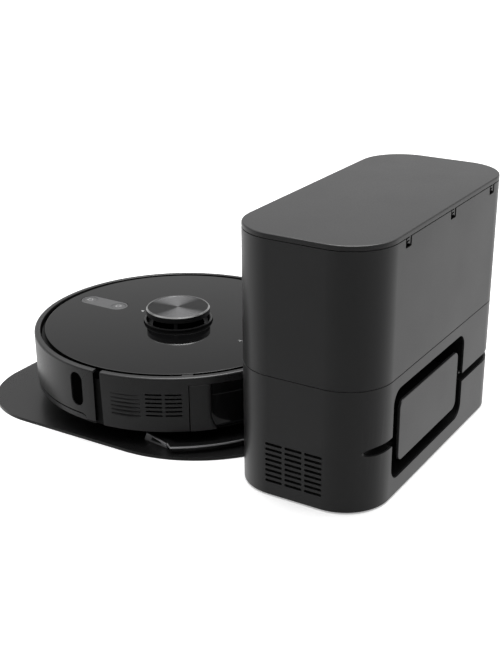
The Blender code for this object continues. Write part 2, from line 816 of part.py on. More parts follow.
def make_inlet_seal(station):
    """A rubber mouth from the station's front face to the robot's dust bin."""
    bin_face = STATION_FRONT - DOCK_GAP - BIN_RECESS
    reach = -bin_face + STATION_FRONT
    mesh = wall_ring("inlet_seal", port_outline(0.004), port_outline(0.0), FIT_GAP, reach + 0.004)
    seal = put("inlet_seal", mesh, RUBBER, station, (0, STATION_FRONT, 0), FACE_BACK)
    robot_y = ROBOT_Y - STATION_Y
    bite = cylinder("cut_seal", BIN_R + FIT_GAP, 0, ROBOT_TOP_Z, step=2.5)
    cut(seal, guide(bite, station, (0, robot_y, 0)))


def make_bag(station):
    y_low = DUCT_BACK + SPIGOT_L + FIT_GAP
    collar = put(
        "bag_collar",
        prism("bag_collar", rounded_rect(COLLAR_W, COLLAR_H, 0.006, 4), 0, COLLAR_T),
        CARD, station, (0, y_low + COLLAR_T, OUTLET_Z), FACE_BACK,
    )
    hole = cylinder("cut_collar", COLLAR_HOLE_R, -COLLAR_T, 2 * COLLAR_T)
    cut(collar, guide(hole, station, (0, y_low + COLLAR_T, OUTLET_Z), FACE_BACK))

    low = DECK_Z + DECK_T + BAG_LOW_GAP
    high = SHELL_TOP_Z - BAG_TOP_GAP
    front = y_low + COLLAR_T + RAIL_T + FIT_GAP
    back = INNER_BACK - BAG_REAR_GAP
    middle = (low + high) / 2
    rings = []
    layers = 8
    for i in range(layers + 1):
        t = -1 + 2 * i / layers
        swell = (1 - abs(t) ** 3) ** (1 / 3) if abs(t) < 1 else 0.0
        share = 0.62 + 0.38 * swell
        width = 2 * BAG_HALF_W * share
        height = (high - low) * share
        y = front + (back - front) * (t + 1) / 2
        ring = rounded_rect(width, height, min(width, height) * 0.34, 4)
        rings.append([(x, y, middle + z) for x, z in ring])
    put("dust_bag", loft("dust_bag", rings), PAPER, station)


def make_blower(station):
    high = BLOWER_LOW_Z + BLOWER_H
    profile = [
        (MOTOR_R * 0.5, BLOWER_LOW_Z), (BLOWER_R, BLOWER_LOW_Z), (BLOWER_R, high),
        (BLOWER_EYE_R, high), (BLOWER_EYE_R, high - BLOWER_WALL),
        (BLOWER_R - BLOWER_WALL, high - BLOWER_WALL),
        (BLOWER_R - BLOWER_WALL, BLOWER_LOW_Z + BLOWER_WALL),
        (MOTOR_R * 0.5, BLOWER_LOW_Z + BLOWER_WALL),
    ]
    place = (BLOWER_X, BLOWER_Y, 0)
    housing = put("blower_housing", sweep("blower_housing", profile, step=12), MATTE, station, place)
    outlet = block(
        "cut_blower_outlet", (BLOWER_R - 3 * BLOWER_WALL, -0.020, BLOWER_LOW_Z + 2 * BLOWER_WALL),
        (BLOWER_R + BLOWER_WALL, 0.020, high - 2 * BLOWER_WALL),
    )
    cut(housing, guide(outlet, station, place))

    motor_high = BLOWER_LOW_Z - FIT_GAP
    shaft_high = BLOWER_LOW_Z + BLOWER_H / 2
    motor_profile = [
        (MOTOR_R, motor_high - MOTOR_H), (MOTOR_R, motor_high), (SHAFT_R, motor_high),
        (SHAFT_R, shaft_high),
    ]
    put("blower_motor", turned("blower_motor", motor_profile), STEEL, station, place)

    wheel_low = BLOWER_LOW_Z + 3 * BLOWER_WALL
    impeller_mesh = impeller("blower_impeller", IMPELLER_R, IMPELLER_H, SHAFT_R + SLIDE_GAP, 7)
    put("blower_impeller", impeller_mesh, GREY, station, (BLOWER_X, BLOWER_Y, wheel_low))


def impeller(name, radius, height, bore, blades):
    """A radial fan wheel in one piece: a back plate with blades round a bored hub."""
    plate = height * 0.14
    hub = radius * 0.30
    count = blades * BLADE_POINTS
    bm = bmesh.new()
    loops = []
    for z in (0.0, plate, plate, height):
        ring = []
        for i in range(count):
            phase = i % BLADE_POINTS
            angle = 2 * math.pi * i / count
            reach = radius
            if len(loops) > 1:
                reach = 0.97 * radius if phase in (0, 1) else hub
            ring.append(bm.verts.new((reach * math.cos(angle), reach * math.sin(angle), z)))
        loops.append(ring)
    inner = []
    for z in (height, 0.0):
        inner.append([
            bm.verts.new((bore * math.cos(2 * math.pi * i / count),
                          bore * math.sin(2 * math.pi * i / count), z))
            for i in range(count)
        ])
    chain = loops + inner
    for a in range(len(chain)):
        here = chain[a]
        there = chain[(a + 1) % len(chain)]
        for i in range(count):
            j = (i + 1) % count
            bm.faces.new((here[i], here[j], there[j], there[i]))
    return to_mesh(bm, name)


def make_exhaust_filter(station):
    half = VENT_PITCH_Y * VENT_COLUMNS / 2 + 0.003
    x_high = STATION_W / 2 - STATION_WALL - FILTER_GAP
    low = VENT_LOW_Z - 0.003
    high = VENT_LOW_Z + VENT_PITCH_Z * VENT_ROWS + 0.002
    mesh = block(
        "exhaust_filter", (x_high - FILTER_T, VENT_CENTRE_Y - half, low),
        (x_high, VENT_CENTRE_Y + half, high),
    )
    put("exhaust_filter", mesh, FOAM, station)


def make_power_board(station):
    board = put(
        "power_board",
        block("power_board", (-BOARD_W / 2, -BOARD_D / 2, 0), (BOARD_W / 2, BOARD_D / 2, BOARD_T)),
        BOARD, station, (BOARD_X, BOARD_Y, BOARD_Z),
    )
    parts = bmesh.new()
    add_prism(parts, block_outline(-0.036, -0.008, -0.020, 0.012), BOARD_T / 2, 0.028)
    add_prism(parts, block_outline(0.026, 0.032, -0.022, 0.022), BOARD_T / 2, 0.024)
    for x in (0.004, 0.016):
        add_prism(parts, arc((x, 0.016), 0.005, 0, 330, 11), BOARD_T / 2, 0.020)
    join(board, guide(to_mesh(parts, "board_parts"), station, (BOARD_X, BOARD_Y, BOARD_Z)))


def make_beacon_window(station):
    mesh = prism("beacon_window", window_outline(0.0), 0, STATION_WALL)
    put("beacon_window", mesh, GLOSS, station, (0, INNER_FRONT, 0), FACE_BACK)


# ---------------------------------------------------------------- tray
def tray_outline():
    """The tray's plan, from the robot's centre: round front, pulled in towards the station."""
    x = TRAY_HALF_W
    front = -(ROBOT_R + TRAY_FRONT_MARGIN)
    centre_x = x - TRAY_REAR_R
    neck_y = DOCK_FACE_Y - FIT_GAP
    neck_deg = math.degrees(math.asin((neck_y - TRAY_REAR_START_Y) / TRAY_REAR_R))
    right = arc((x - TRAY_FRONT_R, front + TRAY_FRONT_R), TRAY_FRONT_R, -90, 0, 12)
    right += arc((centre_x, TRAY_REAR_START_Y), TRAY_REAR_R, 0, neck_deg, 10)
    left = [(-px, py) for px, py in reversed(right)]
    tongue = [
        (TONGUE_HALF_W, neck_y), (TONGUE_HALF_W, neck_y + TONGUE_L),
        (-TONGUE_HALF_W, neck_y + TONGUE_L), (-TONGUE_HALF_W, neck_y),
    ]
    return right, tongue, left


def platform_outline(inset):
    """The docking platform: straight slanted flanks, then round with the robot to the station."""
    radius = CURB_R - inset
    neck_y = DOCK_FACE_Y - FIT_GAP
    end_deg = math.degrees(math.asin(min(neck_y / radius, 1.0)))
    right = [(CURB_FRONT_X - inset, CURB_FRONT_Y)]
    right += arc((0, 0), radius, CURB_CORNER_DEG, end_deg, 8)
    left = [(-px, py) for px, py in reversed(right)]
    return right + left


def make_tray(dock):
    right, tongue, left = tray_outline()
    tray = put("floor_tray", prism("floor_tray", right + left, 0, TRAY_T), SATIN, dock)
    tongue_mesh = block(
        "tray_tongue", (-TONGUE_HALF_W, tongue[0][1] - TONGUE_L, 0),
        (TONGUE_HALF_W, tongue[1][1], TONGUE_T),
    )
    join(tray, guide(tongue_mesh, dock))
    join(tray, guide(prism("platform", platform_outline(0.0), TRAY_T / 2, CURB_Z), dock))
    dish = prism("cut_platform", dish_outline(), PLATFORM_Z, CURB_Z + TRAY_T)
    cut(tray, guide(dish, dock))
    ramp = loft("cut_ramp", [
        [(x, CURB_FRONT_Y - 0.010, TRAY_T), (x, CURB_FRONT_Y + 0.022, PLATFORM_Z + FIT_GAP),
         (x, CURB_FRONT_Y + 0.022, CURB_Z + TRAY_T), (x, CURB_FRONT_Y - 0.010, CURB_Z + TRAY_T)]
        for x in (CURB_W - CURB_FRONT_X, CURB_FRONT_X - CURB_W)
    ])
    cut(tray, guide(ramp, dock))
    pads = []
    for sign in (-1, 1):
        pads.append(block_outline(
            sign * CONTACT_X - CONTACT_W / 2 - SLIDE_GAP, sign * CONTACT_X + CONTACT_W / 2 + SLIDE_GAP,
            CONTACT_Y - CONTACT_D / 2 - SLIDE_GAP, CONTACT_Y + CONTACT_D / 2 + SLIDE_GAP,
        ))
    cut(tray, guide(prisms("cut_contacts", pads, 0.002, CURB_Z), dock))


def dish_outline():
    """The sunken middle of the platform, open towards the station's face."""
    radius = CURB_R - CURB_W
    end_deg = 80.0
    right = [(CURB_FRONT_X - CURB_W, CURB_FRONT_Y - 0.002)]
    right += arc((0, 0), radius, CURB_CORNER_DEG, end_deg, 10)
    left = [(-px, py) for px, py in reversed(right)]
    return right + left


def make_contacts(dock):
    """Sprung charging contacts that the robot's underside rides onto."""
    high = UNDER_Z - FIT_GAP
    for sign, side in ((1, "right"), (-1, "left")):
        name = "charge_contact_" + side
        outline = rounded_rect(CONTACT_W, CONTACT_D, 0.002, 3)
        mesh = prism(name, outline, -CONTACT_H, 0)
        put(name, mesh, STEEL, dock, (sign * CONTACT_X, CONTACT_Y, high))


# ---------------------------------------------------------------- robot shells
def make_chassis(robot):
    profile = [
        (CHASSIS_FLAT_R, UNDER_Z), (CHASSIS_R, SKIRT_Z), (CHASSIS_R, CHASSIS_WALL_TOP_Z),
        (CHASSIS_R - CHASSIS_T, CHASSIS_WALL_TOP_Z), (CHASSIS_R - CHASSIS_T, SKIRT_Z + CHASSIS_T),
        (CHASSIS_FLAT_R - CHASSIS_T / 2, CHASSIS_FLOOR_Z),
    ]
    mesh = turned("chassis", profile, ROUND_STEP)
    for vertex in mesh.vertices:
        if vertex.co.y < -FIT_GAP:      # the front half stays clear of the pressed bumper
            vertex.co.y += BUMPER_TRAVEL + SLIDE_GAP
    chassis = put("chassis", mesh, MATTE, robot)

    well_x = TYRE_W / 2 + WHEEL_GAP
    well_y = WHEEL_R + WHEEL_GAP
    holes = [
        block_outline(sign * WHEEL_X - well_x, sign * WHEEL_X + well_x, -well_y, well_y)
        for sign in (-1, 1)
    ]
    bay_x = BRUSH_HALF_L + BAY_CLEARANCE
    holes.append(block_outline(-bay_x, bay_x, BRUSH_Y - BAY_R, BRUSH_Y + BAY_R))
    holes.append(arc((0, CASTER_Y), FORK_R + SLIDE_GAP, 5, 350, 23))
    holes.append(arc(side_brush_place(), 0.004 + SLIDE_GAP, 0, 330, 11))
    cut(chassis, guide(prisms("cut_floor", holes, 0, SKIRT_Z), robot))

    # The rear is open above the floor, for the dust bin.
    wedge = prism("cut_bin_bay", bin_bay_outline(), SKIRT_Z + FIT_GAP, SEAM_Z)
    cut(chassis, guide(wedge, robot))
    air = prisms("cut_air_windows", air_window_outlines(), SIDE_VENT_LOW_Z - SIDE_VENT_H,
                 SIDE_VENT_LOW_Z + SIDE_VENT_ROWS * SIDE_VENT_PITCH)
    cut(chassis, guide(air, robot))

    ears = []
    for sign in (-1, 1):
        for x in ear_places():
            x_low, x_high = sorted((sign * x, sign * (x + EAR_T)))
            ears.append(block_outline(x_low, x_high, ARM_PIVOT_Y - EAR_HALF_D, ARM_PIVOT_Y + EAR_HALF_D))
    ear_mesh = prisms("arm_ears", ears, CHASSIS_FLOOR_Z - CHASSIS_T / 2, ARM_PIVOT_Z + EAR_RISE)
    join(chassis, guide(ear_mesh, robot))
    reach = WHEEL_X + TYRE_W
    bore = cylinder("cut_bores", AXLE_R + SLIDE_GAP, -reach, reach, step=30)
    cut(chassis, guide(bore, robot, (0, ARM_PIVOT_Y, ARM_PIVOT_Z), ALONG_X))


def air_window_outlines():
    """Plan shapes of the chassis wall's openings behind the rear shell's vents."""
    spread = SIDE_VENT_SWEEP_DEG / 2 + 1.0
    first = min(SIDE_VENT_DEGS) - spread
    last = max(SIDE_VENT_DEGS) + spread
    outlines = []
    for start, end in ((first, last), (180 - last, 180 - first)):
        outer = arc((0, 0), ROBOT_R, start, end, 3)
        inner = arc((0, 0), CHASSIS_FLAT_R, end, start, 3)
        outlines.append(outer + inner)
    return outlines


def ear_places():
    """Inner faces of the two ears that hold each suspension arm's pin."""
    arm_low = WHEEL_X - TYRE_W / 2 - WHEEL_GAP - ARM_T
    return (arm_low - SLIDE_GAP - EAR_T, arm_low + ARM_T + SLIDE_GAP)


def bin_bay_outline():
    """Where the bin and its wings pass the chassis wall."""
    radius = ROBOT_R + SIDE_WALL
    inner = CHASSIS_FLAT_R - CHASSIS_T
    start = BIN_SEAM_DEG - BIN_SEAM_GAP_DEG
    outer_points = arc((0, 0), radius, start, 180 - start, 16)
    inner_points = arc((0, 0), inner, 180 - start, start, 16)
    return outer_points + inner_points


def make_rear_shell(robot):
    end = 180 - SHELL_START_DEG
    round_top = 0.0012
    profile = [
        (ROBOT_R - SIDE_WALL, SKIRT_Z), (ROBOT_R, SKIRT_Z), (ROBOT_R, ROBOT_TOP_Z - round_top),
        (ROBOT_R - round_top, ROBOT_TOP_Z), (RIM_INNER_R, ROBOT_TOP_Z),
        (RIM_INNER_R, ROBOT_TOP_Z - RIM_T), (ROBOT_R - SIDE_WALL, ROBOT_TOP_Z - RIM_T),
    ]
    shell = put(
        "rear_shell",
        sweep("rear_shell", profile, SHELL_START_DEG, end), SATIN, robot,
    )
    bay = arc((0, 0), ROBOT_R + SIDE_WALL, BIN_SEAM_DEG, 180 - BIN_SEAM_DEG, 14)
    bay += arc((0, 0), RIM_INNER_R - SIDE_WALL, 180 - BIN_SEAM_DEG, BIN_SEAM_DEG, 14)
    cut(shell, guide(prism("cut_bin_gap", bay, 0, BIN_TOP_Z + 2 * FIT_GAP), robot))

    bm = bmesh.new()
    half = math.radians(SIDE_VENT_SWEEP_DEG / 2) * ROBOT_R
    for base in SIDE_VENT_DEGS:
        for degrees in (base, 180 - base):
            angle = math.radians(degrees)
            along = (math.cos(angle), math.sin(angle))
            across = (-along[1], along[0])
            outline = []
            for r, s in ((-1, -1), (1, -1), (1, 1), (-1, 1)):
                reach = ROBOT_R + r * 2 * SIDE_WALL
                outline.append((reach * along[0] + s * half * across[0],
                                reach * along[1] + s * half * across[1]))
            for row in range(SIDE_VENT_ROWS):
                low = SIDE_VENT_LOW_Z + row * SIDE_VENT_PITCH
                add_prism(bm, outline, low, low + SIDE_VENT_H)
    cut(shell, guide(to_mesh(bm, "cut_side_vents"), robot))


def make_bumper(robot):
    start = -180 - BUMPER_END_DEG
    end = BUMPER_END_DEG
    round_top = 0.0012
    inner = ROBOT_R - BUMPER_WALL
    profile = [
        (inner, BUMPER_LOW_Z), (ROBOT_R, BUMPER_LOW_Z), (ROBOT_R, ROBOT_TOP_Z - round_top),
        (ROBOT_R - round_top, ROBOT_TOP_Z), (RIM_INNER_R, ROBOT_TOP_Z),
        (RIM_INNER_R, ROBOT_TOP_Z - RIM_T), (inner, ROBOT_TOP_Z - RIM_T),
    ]
    bumper = put("bumper", sweep("bumper", profile, start, end), SATIN, robot)
    step_profile = [
        (ROBOT_R - BUMPER_STEP, 0), (ROBOT_R + BUMPER_STEP, 0),
        (ROBOT_R + BUMPER_STEP, BUMPER_STEP_Z), (ROBOT_R - BUMPER_STEP, BUMPER_STEP_Z),
    ]
    step_mesh = sweep("cut_step", step_profile, -180 - BUMPER_STEP_END_DEG, BUMPER_STEP_END_DEG)
    cut(bumper, guide(step_mesh, robot))
    hole = prism("cut_sensor", sensor_outline(FIT_GAP), -0.006, 0.006)
    cut(bumper, guide(hole, robot, *sensor_place()))

    window = prism("wall_sensor_window", sensor_outline(0.0), -SENSOR_PROUD, SENSOR_T - SENSOR_PROUD)
    put("wall_sensor_window", window, GLOSS, robot, *sensor_place())


def sensor_outline(grow):
    height = SENSOR_HIGH_Z - SENSOR_LOW_Z
    return stadium(height + 2 * grow, SENSOR_W + 2 * grow)


def sensor_place():
    """Location and rotation of the side sensor window, its height axis pointing inwards."""
    angle = math.radians(SENSOR_DEG)
    reach = ROBOT_R - BUMPER_STEP
    location = (
        reach * math.cos(angle), reach * math.sin(angle), (SENSOR_LOW_Z + SENSOR_HIGH_Z) / 2
    )
    return location, (math.pi / 2, 0, angle - math.pi / 2)


def make_top_deck(robot):
    deck = put(
        "top_deck",
        cylinder("top_deck", DECK_DISC_R, TOP_DECK_Z, TOP_DECK_Z + TOP_DECK_T, step=ROUND_STEP),
        MATTE, robot,
    )
    turret = arc((0, 0), ROTOR_R + 2 * SLIDE_GAP, 0, 350, 35)
    buttons = [arc((0, y), BUTTON_R * 0.6, 0, 330, 11) for y in button_ys()]
    cut(deck, guide(prisms("cut_deck_holes", [turret] + buttons, 0, ROBOT_TOP_Z), robot))

    cover = put(
        "top_cover",
        cylinder("top_cover", COVER_DISC_R, COVER_LOW_Z, COVER_TOP_Z, step=ROUND_STEP),
        GLOSS, robot,
    )
    hole = arc((0, 0), TURRET_GUARD_R + SLIDE_GAP, 0, 350, 35)
    pill = stadium(PILL_L + 2 * FIT_GAP, PILL_W + 2 * FIT_GAP, 10, (0, PILL_Y))
    cut(cover, guide(prisms("cut_cover_holes", [hole, pill], 0, STATION_H), robot))
    ring = pipe(
        "cover_ring", COVER_DISC_R - 0.004, COVER_DISC_R - 0.008,
        TOP_DECK_Z + TOP_DECK_T + FIT_GAP, COVER_LOW_Z + COVER_DISC_T / 2, step=2 * ROUND_STEP,
    )
    join(cover, guide(ring, robot))


def button_ys():
    return (PILL_Y - BUTTON_SPACING / 2, PILL_Y + BUTTON_SPACING / 2)


def make_buttons(robot):
    low = COVER_TOP_Z - PANEL_T
    panel = put(
        "button_panel",
        prism("button_panel", stadium(PILL_L, PILL_W, 10, (0, PILL_Y)), low, COVER_TOP_Z),
        GREY, robot,
    )
    holes = [arc((0, y), BUTTON_R + FIT_GAP, 0, 345, 23) for y in button_ys()]
    cut(panel, guide(prisms("cut_buttons", holes, 0, STATION_H), robot))
    for name, y in zip(("home_button", "power_button"), button_ys()):
        stem_low = TOP_DECK_Z + 0.001 - COVER_TOP_Z
        profile = [
            (BUTTON_R * 0.4, stem_low), (BUTTON_R * 0.4, 0.0005 - PANEL_T),
            (BUTTON_R, 0.0005 - PANEL_T), (BUTTON_R, 0),
        ]
        put(name, turned(name, profile), GREY, robot, (0, y, COVER_TOP_Z))


# ---------------------------------------------------------------- laser turret
def make_turret(robot):
    floor = TOP_DECK_Z + TOP_DECK_T + FIT_GAP
    outer = TURRET_R + 0.0022
    profile = [
        (ROTOR_R + 2 * SLIDE_GAP, floor), (outer, floor), (outer, TURRET_GUARD_Z - TURRET_GUARD_T / 2),
        (TURRET_GUARD_R, TURRET_GUARD_Z - TURRET_GUARD_T / 2),
        (TURRET_GUARD_R, TURRET_GUARD_Z + TURRET_GUARD_T / 2),
        (outer - TURRET_WALL, TURRET_GUARD_Z + TURRET_GUARD_T / 2),
        (outer - TURRET_WALL, floor + 0.0015), (ROTOR_R + 2 * SLIDE_GAP, floor + 0.0015),
    ]
    put("lidar_base", sweep("lidar_base", profile, step=TURRET_STEP), MATTE, robot)

    head_low = floor + 0.002
    head_high = CAP_SKIRT_Z - 0.0006
    neck = ROTOR_PULLEY_R - 0.002
    pulley_low = TOP_DECK_Z - PULLEY_H - 0.002
    groove = 0.0008
    rotor_profile = [
        (ROTOR_PULLEY_R, pulley_low), (ROTOR_PULLEY_R - groove, pulley_low + PULLEY_H / 2),
        (ROTOR_PULLEY_R, pulley_low + PULLEY_H), (neck, pulley_low + PULLEY_H), (neck, head_low),
        (ROTOR_R, head_low), (ROTOR_R, head_high),
    ]
    rotor = put("lidar_rotor", turned("lidar_rotor", rotor_profile, TURRET_STEP), GLOSS, robot)
    flat = block("cut_lens", (-0.016, ROTOR_R - 0.006, head_low + 0.002), (0.016, ROTOR_R, head_high - 0.001))
    cut(rotor, guide(flat, robot))

    make_cap(robot, floor)
    make_belt_drive(robot, pulley_low)


def make_cap(robot, floor):
    top = CAP_DISC_Z - FIT_GAP
    roof = top - CAP_WALL
    cap = put(
        "lidar_cap",
        turned("lidar_cap", [
            (TURRET_R - CAP_WALL, roof - top), (TURRET_R - CAP_WALL, CAP_SKIRT_Z - top),
            (TURRET_R, CAP_SKIRT_Z - top), (TURRET_R, 0),
        ], TURRET_STEP),
        SATIN, robot, (0, 0, top),
    )
    posts = []
    for quarter in range(4):
        angle = math.radians(30.6 + 90 * quarter)
        along = (math.cos(angle), math.sin(angle))
        outline = []
        for r, s in ((TURRET_R - CAP_WALL, -1), (TURRET_R - 0.0003, -1), (TURRET_R - 0.0003, 1),
                     (TURRET_R - CAP_WALL, 1)):
            side = s * CAP_POST_W / 2
            outline.append((r * along[0] - side * along[1], r * along[1] + side * along[0]))
        posts.append(outline)
    foot = floor + 0.0015 + FIT_GAP + CAP_TRAVEL + SLIDE_GAP
    join(cap, guide(prisms("cap_posts", posts, foot, CAP_SKIRT_Z + 0.002), robot))

    height = TURRET_TOP_Z - CAP_DISC_Z
    put(
        "lidar_cap_disc",
        turned("lidar_cap_disc", [(TURRET_R, 0), (TURRET_R - 0.0014, height)], TURRET_STEP),
        METAL, robot, (0, 0, CAP_DISC_Z),
    )


def make_belt_drive(robot, pulley_low):
    angle = math.radians(PULLEY_DEG)
    place = (PULLEY_DISTANCE * math.cos(angle), PULLEY_DISTANCE * math.sin(angle), 0)
    put(
        "lidar_pulley", pipe("lidar_pulley", MOTOR_PULLEY_R, 0.0012, pulley_low, pulley_low + PULLEY_H),
        LIGHT, robot, place,
    )
    motor_high = pulley_low - 0.0005
    motor_profile = [
        (LIDAR_MOTOR_R, motor_high - LIDAR_MOTOR_H), (LIDAR_MOTOR_R, motor_high),
        (0.0009, motor_high), (0.0009, motor_high + 0.0028),
    ]
    put("lidar_motor", turned("lidar_motor", motor_profile), STEEL, robot, place)

    big = ROTOR_PULLEY_R + FIT_GAP
    small = MOTOR_PULLEY_R + FIT_GAP
    low = pulley_low + 0.0008
    high = pulley_low + PULLEY_H - 0.0008
    mesh = wall_ring(
        "lidar_belt", belt_outline(big + BELT_T, small + BELT_T), belt_outline(big, small), low, high
    )
    put("lidar_belt", mesh, RUBBER, robot, (0, 0, 0), (0, 0, angle))


def belt_outline(big, small):
    """An open belt's loop round two pulleys, the small one along +X."""
    lean = math.degrees(math.acos((big - small) / PULLEY_DISTANCE))
    far = arc((PULLEY_DISTANCE, 0), small, -lean, lean, 6)
    near = arc((0, 0), big, lean, 360 - lean, 16)
    return far + near


# ---------------------------------------------------------------- dust bin
def bin_outline(inset):
    """The bin's plan: flat front and sides, round back."""
    radius = BIN_R - inset
    half = BIN_HALF_W - inset
    start = math.degrees(math.acos(half / radius))
    points = arc((0, 0), radius, start, 180 - start, 24)
    return points + [(-half, BIN_FRONT_Y + inset), (half, BIN_FRONT_Y + inset)]


def make_dust_bin(robot):
    mesh = cup(
        "dust_bin", bin_outline(0.0), bin_outline(BIN_WALL), BIN_SPLIT_Z - FIT_GAP,
        BIN_LOW_Z + BIN_WALL, BIN_LOW_Z,
    )
    dust_bin = put("dust_bin", mesh, GLOSS, robot)
    exit_hole = prism("cut_bin_port", port_outline(0.0), -4 * BIN_WALL, 6 * BIN_WALL)
    cut(dust_bin, guide(exit_hole, robot, (0, BIN_R, 0), FACE_BACK))
    intake = block(
        "cut_bin_intake", (-INTAKE_W / 2, BIN_FRONT_Y - BIN_WALL, BIN_LOW_Z + 2 * BIN_WALL),
        (INTAKE_W / 2, BIN_FRONT_Y + 2 * BIN_WALL, BIN_LOW_Z + 2 * BIN_WALL + INTAKE_H - 0.004),
    )
    cut(dust_bin, guide(intake, robot))

    cover_mesh = cup(
        "bin_cover", bin_outline(0.0), bin_outline(BIN_WALL), BIN_SPLIT_Z + FIT_GAP,
        BIN_TOP_Z - BIN_WALL, BIN_TOP_Z,
    )
    cover = put("bin_cover", cover_mesh, GLOSS, robot)
    start = BIN_SEAM_DEG + BIN_SEAM_GAP_DEG
    for sign in (0, 1):
        first = start if sign == 0 else 180 - BIN_WING_END_DEG
        last = BIN_WING_END_DEG if sign == 0 else 180 - start
        wing = sweep(
            "bin_wing", [(ROBOT_R - BIN_WING_T, BIN_LOW_Z), (ROBOT_R, BIN_LOW_Z),
                         (ROBOT_R, BIN_TOP_Z), (ROBOT_R - BIN_WING_T, BIN_TOP_Z)],
            first, last, step=2.1,
        )
        join(cover, guide(wing, robot))
        bridge = sweep(
            "wing_bridge", [(BIN_R - 4 * BIN_WALL, BIN_SPLIT_Z + FIT_GAP),
                            (ROBOT_R - BIN_WING_T / 2, BIN_SPLIT_Z + FIT_GAP),
                            (ROBOT_R - BIN_WING_T / 2, BIN_TOP_Z),
                            (BIN_R - 4 * BIN_WALL, BIN_TOP_Z)],
            first + 1.0 if sign == 0 else first, last if sign == 0 else last - 1.0, step=2.1,
        )
        join(cover, guide(bridge, robot))
    half = FILTER_W / 2 + FIT_GAP
    air_gap = block(
        "cut_filter_window", (-half + 0.004, BIN_FRONT_Y - BIN_WALL, BIN_SPLIT_Z + 0.002),
        (half - 0.004, BIN_FRONT_Y + 2 * BIN_WALL, BIN_TOP_Z - 0.004),
    )
    cut(cover, guide(air_gap, robot))
    release = block(
        "cut_release", (-RELEASE_W / 2 - SLIDE_GAP, BIN_R - 0.012, release_z() - RELEASE_H / 2 - SLIDE_GAP),
        (RELEASE_W / 2 + SLIDE_GAP, BIN_R + 0.004, release_z() + RELEASE_H / 2 + SLIDE_GAP),
    )
    cut(cover, guide(release, robot))

    face = BIN_R - RELEASE_TRAVEL + SLIDE_GAP
    button = prism("bin_release_button", rounded_rect(RELEASE_W, RELEASE_H, 0.003, 4), 0, RELEASE_T)
    put("bin_release_button", button, SATIN, robot, (0, face, release_z()), FACE_BACK)

    # The flap hangs in the port and swings out into the seal when the station sucks.
    flap_high = PORT_LOW_Z + PORT_H - FLAP_T
    drop = flap_high - PORT_LOW_Z - FLAP_GAP
    outline = rounded_rect(PORT_W - 2 * FLAP_GAP, drop, 0.006, 3, (0, -drop / 2))
    flap = prism("bin_flap", outline, -FLAP_T / 2, FLAP_T / 2)
    put("bin_flap", flap, RUBBER, robot, (0, BIN_R - FLAP_INSET, flap_high), FACE_BACK)

    filter_mesh = block(
        "hepa_filter", (-FILTER_W / 2, 0, -HEPA_H / 2), (FILTER_W / 2, HEPA_T, HEPA_H / 2)
    )
    filter_y = BIN_FRONT_Y + BIN_WALL + FIT_GAP
    put("hepa_filter", filter_mesh, PLEAT, robot, (0, filter_y, BIN_TOP_Z - BIN_WALL - FIT_GAP - HEPA_H / 2))


def release_z():
    return (BIN_SPLIT_Z + BIN_TOP_Z) / 2 + FIT_GAP


# ---------------------------------------------------------------- inside the robot
def make_fan(robot):
    high = FAN_LOW_Z + FAN_H
    profile = [
        (FAN_R, FAN_LOW_Z), (FAN_R, high), (FAN_EYE_R, high),
        (FAN_EYE_R, high - FAN_WALL), (FAN_R - FAN_WALL, high - FAN_WALL),
        (FAN_R - FAN_WALL, high - 0.014), (SHAFT_R * 0.6, high - 0.014),
        (SHAFT_R * 0.6, high - 0.005),
    ]
    place = (FAN_X, FAN_Y, 0)
    housing = put("fan_housing", turned("fan_housing", profile), MATTE, robot, place)
    outlet = block(
        "cut_fan_outlet", (FAN_R - 3 * FAN_WALL, -0.009, high - 0.011),
        (FAN_R + FAN_WALL, 0.009, high - 0.004),
    )
    cut(housing, guide(outlet, robot, place))
    wheel = impeller("fan_impeller", ROTOR_FAN_R, 0.0085, SHAFT_R * 0.6 + SLIDE_GAP, 7)
    put("fan_impeller", wheel, LIGHT, robot, (FAN_X, FAN_Y, high - 0.0125))


def make_battery(robot):
    """A wrapped pack of upright cells, two by four."""
    width, depth, height = BATTERY_SIZE
    low = CHASSIS_FLOOR_Z + FIT_GAP
    outline = rounded_rect(width, depth, BATTERY_CELL_R, 5)
    pack = put(
        "battery_pack", prism("battery_pack", outline, low, low + height), CELL, robot,
        (BATTERY_X, BATTERY_Y, 0),
    )
    grooves = []
    for i in range(3):
        y = (i - 1) * depth / 4
        for sign in (-1, 1):
            grooves.append(arc((sign * width / 2, y), 0.0022, 0, 315, 7))
    cut(pack, guide(prisms("cut_cell_grooves", grooves, 0, low + 2 * height), robot,
                    (BATTERY_X, BATTERY_Y, 0)))


def make_main_board(robot):
    width, depth = MAIN_BOARD_SIZE
    board = put(
        "main_board",
        block("main_board", (-width / 2, -depth / 2, 0), (width / 2, depth / 2, BOARD_T)),
        BOARD, robot, (0, MAIN_BOARD_Y, MAIN_BOARD_Z),
    )
    chips = bmesh.new()
    for x, y, half, height in ((-0.030, 0.006, 0.008, 0.004), (0.006, -0.008, 0.006, 0.004),
                               (0.034, 0.010, 0.007, 0.007)):
        add_prism(chips, block_outline(x - half, x + half, y - half, y + half), BOARD_T / 2, height)
    join(board, guide(to_mesh(chips, "board_chips"), robot, (0, MAIN_BOARD_Y, MAIN_BOARD_Z)))


